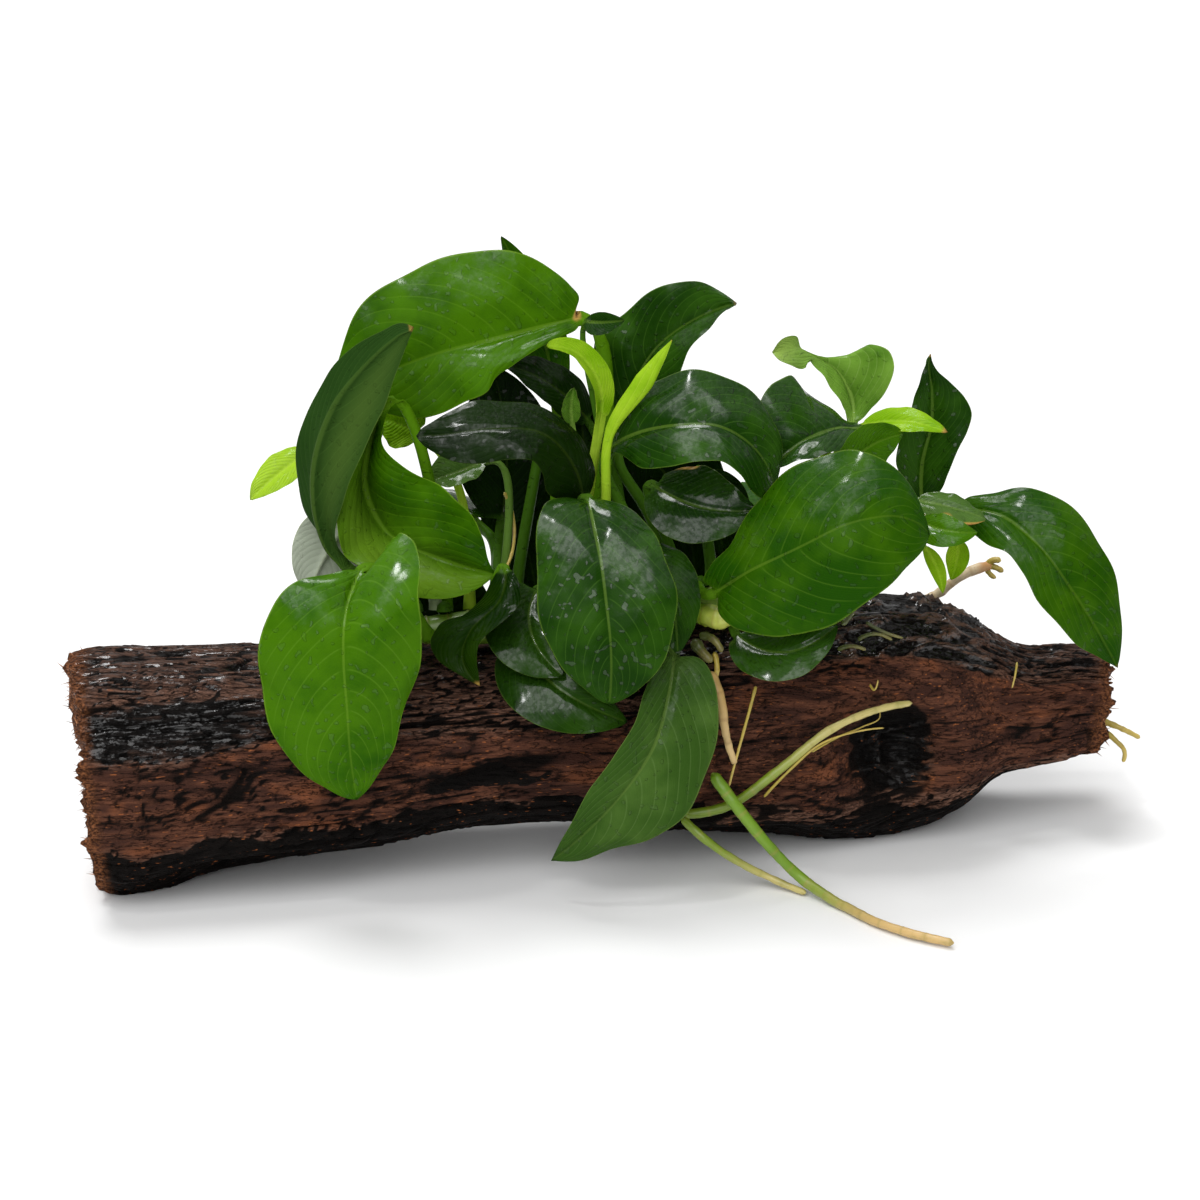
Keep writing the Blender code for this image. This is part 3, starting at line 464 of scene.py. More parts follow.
def wood_zones(x, angle):
    """How wet, warm red-brown and rotted the wood is at these places, from 0 to 1, and how dark: a wet band,
    painted shade below and in the hollow and knot hole, and a darker back.
    """
    x, angle = np.broadcast_arrays(x, angle)
    turn = (angle + 180) % 360 - 180
    drift = 7 * noise(round_grain(x, turn, 34.0, 12.0), 53) + 4 * noise(round_grain(x, turn, 9.0, 4.0), 59)
    drift = drift + 2.5 * noise(round_grain(x, turn, 3.0, 1.6), 61)
    edge = turn + drift
    warm_top = 14 + 24 * ease(x, 0, 45)
    warm = ease(edge, -24, -19) * (1 - ease(edge, warm_top, warm_top + 7))
    # Painted shade: the underside, where the log shades itself, is painted black.
    painted_belly_shade = 1 - ease(edge + 8 * ease(x, 0, 40), -25, -20)
    rotted = ease(x + drift, 50, 60) * (1 - ease(x + drift, 96, 104))
    rotted = rotted * ease(edge, 38, 43) * (1 - ease(turn, 138, 160))
    hollow = ((x + 0.4 * drift - 73) / 12.5) ** 2 + ((edge + 0.2 * drift + 4 + 0.4 * (x - 73)) / 22) ** 2
    hollow = 1 - ease(hollow, 0.35, 1.3)
    knot = ((x + 27) / 17) ** 2 + ((edge + 3 - 0.25 * (x + 27)) / 4.5) ** 2
    knot = 1 - ease(knot, 0.6, 1.1)
    band = ease(edge, 17, 22) * (1 - ease(edge, 42, 50)) * (1 - ease(x, -70, -25))
    wet = np.maximum.reduce((ease(edge, 46, 60) * (1 - ease(turn, 140, 165)), rotted, band, 0.3 * hollow))
    # The dark zone: the real dark of the wet band, painted shade on the underside, in the hollow and in the
    # knot hole, and a darker back.
    black_and_shade = np.maximum.reduce((painted_belly_shade, 0.75 * hollow, knot, 0.62 * band, ease(np.abs(turn), 150, 170) * 0.5))
    return {"wet": wet, "warm": warm, "black_and_shade": black_and_shade, "rotted": np.maximum(rotted, hollow)}


print("zones at the front:", {name: round(float(value), 2) for name, value in wood_zones(-60.0, 0.0).items()})

# %% [markdown]
# ## Furrows, cracks, flakes and lumps
#
# Water-worn wood has relief of several sizes: long cracks a few millimetres apart, finer furrows
# between them, thin flakes with a sharp edge, and single fibres. A crack is noise that crosses zero,
# sharpened to a narrow valley. A flake's edge is where noise steps from one level to the next. All are
# stretched along the log. Where the wood has rotted, rounded crests take their place.

# %% The relief of the wood
CRACKS = (
    # length along, width across, depth in mm, how narrow, seed
    (34.0, 4.2, 2.7, 8, 3),
    (17.0, 2.2, 1.4, 5, 7),
    (9.0, 1.3, 0.6, 3, 11),
)
FLAKES = (22.0, 5.0, 4.0, 0.55, 23)
CRESTS = (8.0, 2.7, 2.3, 31)
FIBRE = (6.0, 0.8, 0.14, 19)
WARP = 2.4


def relief(x, angle, zones):
    """Height of the wood's surface over its plain form, and where its cracks and grooves get painted shade."""
    bend = WARP * noise(round_grain(x, angle, 24.0, 10.0), 2)
    x_bent = x + 5 * bend
    turned = angle + 1.4 * bend
    calm = 1 - 0.62 * zones["warm"]
    firm = 1 - 0.75 * zones["rotted"]
    height = np.zeros(np.broadcast(x, angle).shape)
    # The second result marks cracks, flake edges, rotted valleys and the knot hole for painted shade.
    painted_furrow_shade = np.zeros_like(height)
    for length, width, depth, narrow, seed in CRACKS:
        valley = (1 - ridges(round_grain(x_bent, turned, length, width), seed)) ** narrow
        patchy = np.clip(0.55 + 0.9 * noise(round_grain(x, angle, 30.0, 11.0), seed + 1), 0, 1)
        height = height - depth * valley * patchy * calm * firm
        painted_furrow_shade = np.maximum(painted_furrow_shade, valley * patchy * min(1.0, 0.45 + depth) * (0.35 + 0.65 * calm))
    length, width, levels, step, seed = FLAKES
    layer = levels * noise(round_grain(x_bent, turned, length, width), seed)
    layer = layer - np.floor(layer)
    height = height + step * (layer - 0.5) * calm * firm
    painted_furrow_shade = np.maximum(painted_furrow_shade, 0.75 * ease(0.16 - layer, 0, 0.12) * calm * firm)
    length, width, depth, seed = CRESTS
    crest = 1 - ridges(round_grain(x + 4 * bend, angle + 3 * bend, length, width), seed)
    small = 1 - ridges(round_grain(x + 2 * bend, angle, length * 0.45, width * 0.5), seed + 1)
    height = height + zones["rotted"] * (depth * (crest**1.5 - 0.45) + 0.7 * (small - 0.5))
    painted_furrow_shade = np.maximum(painted_furrow_shade, zones["rotted"] * ease(0.58 - crest - 0.2 * small, 0, 0.4))
    length, width, depth, seed = FIBRE
    height = height + depth * noise(round_grain(x, angle, length, width), seed)
    knot_x, knot_angle = x + 27, angle - 0.25 * (x + 27) + 3
    knot_angle = (knot_angle + 180) % 360 - 180
    knot = np.exp(-((knot_x / 15) ** 2) - (knot_angle / 3.5) ** 2)
    return height - 2.4 * knot, np.clip(np.maximum(painted_furrow_shade, knot), 0, 1)


test_x, test_angle = np.linspace(-120, 120, 400), np.linspace(0, 360, 400)
test_height, test_painted_shade = relief(test_x, test_angle, wood_zones(test_x, test_angle))
print("relief from", test_height.min().round(2), "to", test_height.max().round(2), "mm")

# %% [markdown]
# ## Turning rows of points into a mesh
#
# The log, the leaves and the stems are all sections in a row, so one function makes a closed skin
# from such rows. It also stores numbers on the points, such as where cracks and grooves of the wood
# get painted shade. The materials read these, which keeps a colour exactly where the shape asks
# for it.

# %% A skin through rows of sections
BOX = [np.array(corner) / MM + MIDDLE for corner in cad_box]


def skin(name, rows, values, caps):
    """A closed mesh inside the solids' box through rows of points; caps are the two end points."""
    count = len(rows[0])
    points = np.concatenate(rows)
    last = len(points) - count
    start = np.arange(0, last, count)[:, None]
    step = np.arange(count)[None, :]
    follow = (step + 1) % count
    quads = np.stack((start + step, start + follow, start + count + follow, start + count + step), axis=-1)
    faces = quads.reshape(-1, 4).tolist()
    for end, row in enumerate((0, last)):
        for k in range(count):
            faces.append((row + k, row + (k + 1) % count, len(points) + end))
    places = np.clip(np.vstack((points, *caps)), *BOX)
    mesh = bpy.data.meshes.new(name)
    mesh.from_pydata(((places - MIDDLE) * MM).tolist(), [], faces)
    for word, numbers in values.items():
        numbers = np.ravel(numbers)
        numbers = np.concatenate((numbers, numbers[[0, last]])).astype(np.float32)
        mesh.attributes.new(word, "FLOAT", "POINT").data.foreach_set("value", numbers)
    shape = bmesh.new()
    shape.from_mesh(mesh)
    bmesh.ops.recalc_face_normals(shape, faces=shape.faces)
    shape.to_mesh(mesh)
    shape.free()
    mesh.shade_smooth()
    return mesh


def show(name, mesh, finish, slot, node=None):
    """Puts a mesh in the scene as a piece that rides on the part, in place of a node if one is named."""
    piece = bpy.data.objects.new(name, mesh)
    bpy.context.scene.collection.objects.link(piece)
    mesh.materials.clear()
    mesh.materials.append(finish)
    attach(piece, "root")
    if node:
        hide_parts(node)
    return piece


def count_triangles(mesh):
    return sum(len(face.vertices) - 2 for face in mesh.polygons)


wood_low, wood_high = (np.array(corner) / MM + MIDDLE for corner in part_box("driftwood"))
print("the log's box in mm:", wood_low.round(1), wood_high.round(1))

# %% [markdown]
# ## The log's mesh
#
# The log was broken and not sawn, so each end is a stub of torn fibre bundles. Past the last section
# the skin turns in over a few rings, and each bundle ends at its own length. The rows are pulled back
# a little from the solid's ends, which leaves room for loose fibres inside the log's real length.

# %% The log, cut fine
LOG_ROWS = 322
LOG_AROUND = 294
END_IN = (0.95, 0.86, 0.74, 0.6, 0.44, 0.28, 0.12)
FIBRE_ROOM = 1.6
TORN = 2.4
TORN_REACH = 7.0
STAND_OUT = 0.4


def lean_ends(points, plain, x):
    """Both broken ends lean out at the top, the left one also at the front."""
    left = np.clip((LEFT_END_FROM - x) / LEFT_END_LENGTH, 0, 1)
    right = np.clip((x - RIGHT_END_FROM) / RIGHT_END_LENGTH, 0, 1)
    upward = (points[:, 2] - plain[:, 2].mean()) / np.ptp(plain[:, 2]) * 2
    back = (points[:, 1] - log_middle(x)) / np.ptp(plain[:, 1]) * 2
    points[:, 0] += END_LEAN * upward * (right - left) - END_SLANT * back * left
    return points


def torn_length(points, seed):
    """How far the bundle of fibres at each point of an end stands out."""
    flat = points * np.array((0.0, 1.0, 1.0))
    return 0.4 * noise(flat / 3.6, seed) + 0.6 * noise(flat / 1.1, seed + 1)


def build_log():
    """The log's rows of points with the numbers that its material reads."""
    angle = np.arange(LOG_AROUND) * 360 / LOG_AROUND
    places = np.linspace(LOG_FORM[0, 0] + FIBRE_ROOM, LOG_FORM[-1, 0] - FIBRE_ROOM, LOG_ROWS)
    zones = wood_zones(places[:, None], angle[None, :])
    height, painted_furrow_shade = relief(places[:, None], angle[None, :], zones)
    numbers = {"painted_furrow_shade": painted_furrow_shade, "torn": np.zeros_like(painted_furrow_shade), **zones}
    rows = []
    for k, x in enumerate(places):
        plain = log_at(x, angle)
        outward = log_at(x, angle, lift=1.0) - plain
        row = lean_ends(plain + (height[k] + STAND_OUT)[:, None] * outward, plain, x)
        near = max(1 - abs(x - places[0]) / TORN_REACH, 1 - abs(x - places[-1]) / TORN_REACH, 0.0)
        row[:, 0] += np.sign(x) * near**3 * TORN * torn_length(row, 41)
        numbers["torn"][k] = ease(near, 0.35, 1.0)
        rows.append(row)
    tips = []
    for side, edge in ((-1, rows[0]), (1, rows[-1])):
        middle = edge.mean(axis=0)
        inner = [middle + share * (edge - middle) for share in END_IN]
        for ring in inner:
            ring[:, 0] += side * TORN * torn_length(ring, 41)
        tips.append(middle)
        rows = inner[::-1] + rows if side < 0 else rows + inner
    width = ((len(END_IN), len(END_IN)), (0, 0))
    numbers = {word: np.pad(values, width, mode="edge") for word, values in numbers.items()}
    for k in range(-len(END_IN), len(END_IN)):
        numbers["painted_furrow_shade"][k] = ease(torn_length(rows[k], 47), 0.2, 0.9)
    return [np.clip(row, wood_low, wood_high) for row in rows], numbers, tips


wood_rows, wood_numbers, wood_tips = build_log()
log_mesh = skin("log", wood_rows, wood_numbers, wood_tips)
print("log:", len(log_mesh.vertices), "points,", count_triangles(log_mesh), "triangles")

# %% [markdown]
# ## The wood's finish
#
# Soaked driftwood is a warm red-brown where the high fibres are worn, and its torn ends show
# orange-brown fibre. Its furrows, cracks and flake edges are painted nearly black: painted shade in the
# recesses. A film of water makes the top shine. One material does all of it, because these run into
# each other: the numbers stored on the mesh say how much of each a point has, and stretched noise adds
# the single fibres. Where noise passes its middle value it draws thin dark lines, which are painted
# shade for the finest cracks.

# %% Wood
def wood_finish():
    paint = Paint("soaked_driftwood", coat_roughness=0.1, mirror=0.08)
    words = ("painted_furrow_shade", "torn", "wet", "warm", "black_and_shade", "rotted")
    painted_furrow_shade, torn, wet, warm, black_and_shade, rotted = map(paint.number, words)
    fibres = paint.clouds(7.0, 0.55, 0.55, detail=4.0, roughness=0.65)
    strands = paint.clouds(18.0, 1.6, 1.6, detail=4.0, roughness=0.6)
    streaks = paint.clouds(40.0, 3.0, 3.0, detail=3.0)
    grit = paint.clouds(0.8, 0.6, 0.6, detail=3.0, roughness=0.7)
    flecks = paint.clouds(2.6, 0.5, 0.5, detail=1.0)
    blotches = paint.clouds(16.0, 7.0, 7.0, detail=3.0)
    line = 1 - (strands - 0.5).size().fade(0.0, 0.03)
    brown = paint.mix(fibres.fade(0.3, 0.72), srgb(46, 29, 22), srgb(128, 94, 78))
    red = paint.mix(fibres.fade(0.25, 0.8), srgb(74, 44, 33), srgb(112, 71, 52))
    red = paint.mix(streaks.fade(0.38, 0.62), red, srgb(62, 38, 30))
    red = paint.mix(blotches.fade(0.55, 0.68) * 0.55, red, srgb(132, 78, 50))
    colour = paint.mix(warm, brown, red)
    colour = paint.mix(wet * 0.35, colour, srgb(44, 32, 27))
    colour = paint.mix(rotted * 0.5, colour, srgb(92, 68, 52))
    # The dark zone, partly painted shade, turns the colour nearly black.
    dark = black_and_shade * 1.25 + (0.5 - blotches) * 0.9 + (0.5 - strands) * 0.5
    colour = paint.mix(dark.fade(0.45, 0.8), colour, srgb(15, 11, 9))
    colour = paint.mix(flecks.fade(0.68, 0.74) * (1 - wet) * 0.7, colour, srgb(168, 98, 54))
    # Painted shade: the finest crack lines, and the cracks, grooves, flake edges, rotted valleys and knot hole
    # in the furrow number, are painted nearly black.
    colour = paint.mix(line * 0.75, colour, srgb(12, 8, 6))
    colour = paint.mix(painted_furrow_shade.fade(0.1, 0.4) * 0.97, colour, srgb(6, 4, 3))
    ends = paint.mix(grit.fade(0.35, 0.7), srgb(48, 28, 20), srgb(146, 92, 58))
    colour = paint.mix(torn * grit.fade(0.2, 0.45), colour, ends)
    rough = 0.6 - wet * 0.2 - rotted * 0.1 + grit * 0.2 + torn * 0.15
    ripples = paint.clouds(5.0, 0.9, 0.9, detail=3.0, roughness=0.6)
    height = fibres * 0.6 + ripples + (1 - line) * 0.4
    normal = paint.bump(height, 0.8)
    normal = paint.bump(grit, 0.3, normal)
    sparkle = (grit * 0.35 + ripples * 0.65 + rotted * 0.05).fade(0.48, 0.6)
    shine = wet * (sparkle * 0.9 + rotted * 0.15 + 0.05) - torn * 0.5 - painted_furrow_shade * 0.15
    return paint.finish(base_color=colour, roughness=rough, coat_weight=shine.fade(0.0, 1.0), normal=normal)


wood = wood_finish()
log_piece = show("log", log_mesh, wood, "wood", "driftwood")
print("log finished with", len(wood.node_tree.nodes), "shader nodes")

# %% [markdown]
# ## The shape of a leaf
#
# A leaf is a cut from thick skin: a blade that bends along its midrib, folds and curls to both sides,
# and grows without a joint into a round stalk. The solid has a few flat facets. This leaf runs through
# the same midrib and the same rims with a hundred rows of points, and adds what is too fine for the
# solid. The midrib is a groove above and a ridge below, the blade bulges between its side veins, its
# rim waves, and it thins from the midrib to the rim.
#
# A large leaf curls in its own way, so its two rims are lines that were traced in the photograph, and
# the blade is stretched between them and the midrib. A small leaf has a half width on each side.

# %% Blade and stalk, as in the solids
LEAF_DEFAULTS = {
    "fold": (0.1, 0.1),
    "curl": (-0.1, -0.2),
    "lobe": (0.1, 0.1),
    "shape": (0.55, 0.85),
    "stalk_r": 1.4,
    "reach": 0.35,
    "small": False,
}
LEAST_CURL = 1e-3
LOBE_REACH = 0.16
BLADE_ARCH = 0.06
NECK_END = 0.1
TRACED = ("rib", "left", "right")
RHIZOME_RADIUS = 4.4
RHIZOME_ANGLE = 84
RHIZOME_LIFT = 6.4
TOUCH_GAP = 0.4
STALK_FOOT = 1.1
STALK_TAPER = 0.2
STALK_LIFT = np.array((0.0, 0.0, 0.5))


def rhizome_at(x):
    """The middle of the creeping stem above this X."""
    return log_at(x, RHIZOME_ANGLE, lift=RHIZOME_LIFT, bark=False)


def blade_frame(leaf, at):
    """Midrib points with the directions along the leaf, to its right and out of its upper face."""
    middle, along = along_rib(leaf["rib"], at)
    facing = np.asarray(leaf["face"], float)
    if len(facing) == 1:
        facing = np.repeat(facing, 2, axis=0)
    places = np.linspace(0, 1, len(facing))
    face = np.stack([np.interp(at, places, facing[:, k]) for k in range(3)], axis=-1)
    right = unit(np.cross(along, face))
    return middle, along, right, np.cross(right, along)


def outline(leaf, at):
    """Half width of a leaf along its length, 1 at its widest."""
    rounder, point = leaf["shape"]
    widest = rounder / (rounder + point)
    full = widest**rounder * (1 - widest) ** point
    return at**rounder * (1 - at) ** point / full


def traced_blade(leaf, at, across):
    """Points between the traced rims, with the distance from the midrib to the rim."""
    middle, _, right, face = blade_frame(leaf, at)
    to_left, to_right = (along_rib(leaf[word], at)[0] - middle for word in ("left", "right"))
    sign, side = np.sign(across)[None, :, None], np.abs(across)[None, :, None]
    neck = (leaf["stalk_r"] * (1 - ease(at, 0, NECK_END)))[:, None, None] * sign * right[:, None]
    reach = np.where(sign < 0, to_left[:, None], to_right[:, None]) + neck
    length = np.linalg.norm(reach, axis=-1)
    arch = (BLADE_ARCH * 4 * side[..., 0] * (1 - side[..., 0]) * length)[..., None]
    return middle[:, None] + side * reach + arch * face[:, None], length


def folded_blade(leaf, at, across):
    """Points of a blade that folds at its midrib and curls on, with the half width of each row."""
    middle, along, right, face = blade_frame(leaf, at)
    side = np.abs(across)[None, :]
    width = np.where(across < 0, leaf["wide"][0], leaf["wide"][1])[None, :]
    fold = (leaf["fold"][0] + (leaf["fold"][1] - leaf["fold"][0]) * at)[:, None]
    curl = (leaf["curl"][0] + (leaf["curl"][1] - leaf["curl"][0]) * at)[:, None]
    curl = np.where(np.abs(curl) < LEAST_CURL, LEAST_CURL, curl)
    neck = leaf["stalk_r"] * (1 - ease(at, 0, NECK_END))[:, None]
    reach = np.sqrt((width * outline(leaf, at)[:, None]) ** 2 + neck**2)
    bend = fold + curl * side
    out = reach * (np.sin(bend) - np.sin(fold)) / curl
    rise = reach * (np.cos(fold) - np.cos(bend)) / curl
    lobes = np.where(across < 0, leaf["lobe"][0], leaf["lobe"][1])[None, :] * ease(at, 0, 0.03)[:, None]
    lobe = lobes * width * side**2 * np.exp(-((at[:, None] / LOBE_REACH) ** 2))
    points = (
        middle[:, None]
        + (np.sign(across) * out)[..., None] * right[:, None]
        + rise[..., None] * face[:, None]
        - lobe[..., None] * along[:, None]
    )
    return points, reach


def stalk_path(leaf):
    """The four points that bend a leaf's stalk, from the rhizome to the base of the blade."""
    x, angle, rise = leaf["stalk"]
    turn = math.radians(angle)
    outward = np.array((0.0, -math.cos(turn), math.sin(turn)))
    start = rhizome_at(x) + (RHIZOME_RADIUS + TOUCH_GAP) * outward
    base, along, _, _ = blade_frame(leaf, np.array((0.0,)))
    reach = leaf["reach"] * np.linalg.norm(base[0] - start)
    return start, start + rise * unit(outward + STALK_LIFT), base[0] - reach * along[0], base[0]


def on_bend(bend, t):
    """Point and direction of a cubic curve."""
    a, b, c, d = bend
    point = (1 - t) ** 3 * a + 3 * t * (1 - t) ** 2 * b + 3 * t * t * (1 - t) * c + t**3 * d
    slope = (1 - t) ** 2 * (b - a) + 2 * t * (1 - t) * (c - b) + t * t * (d - c)
    return point, unit(slope)


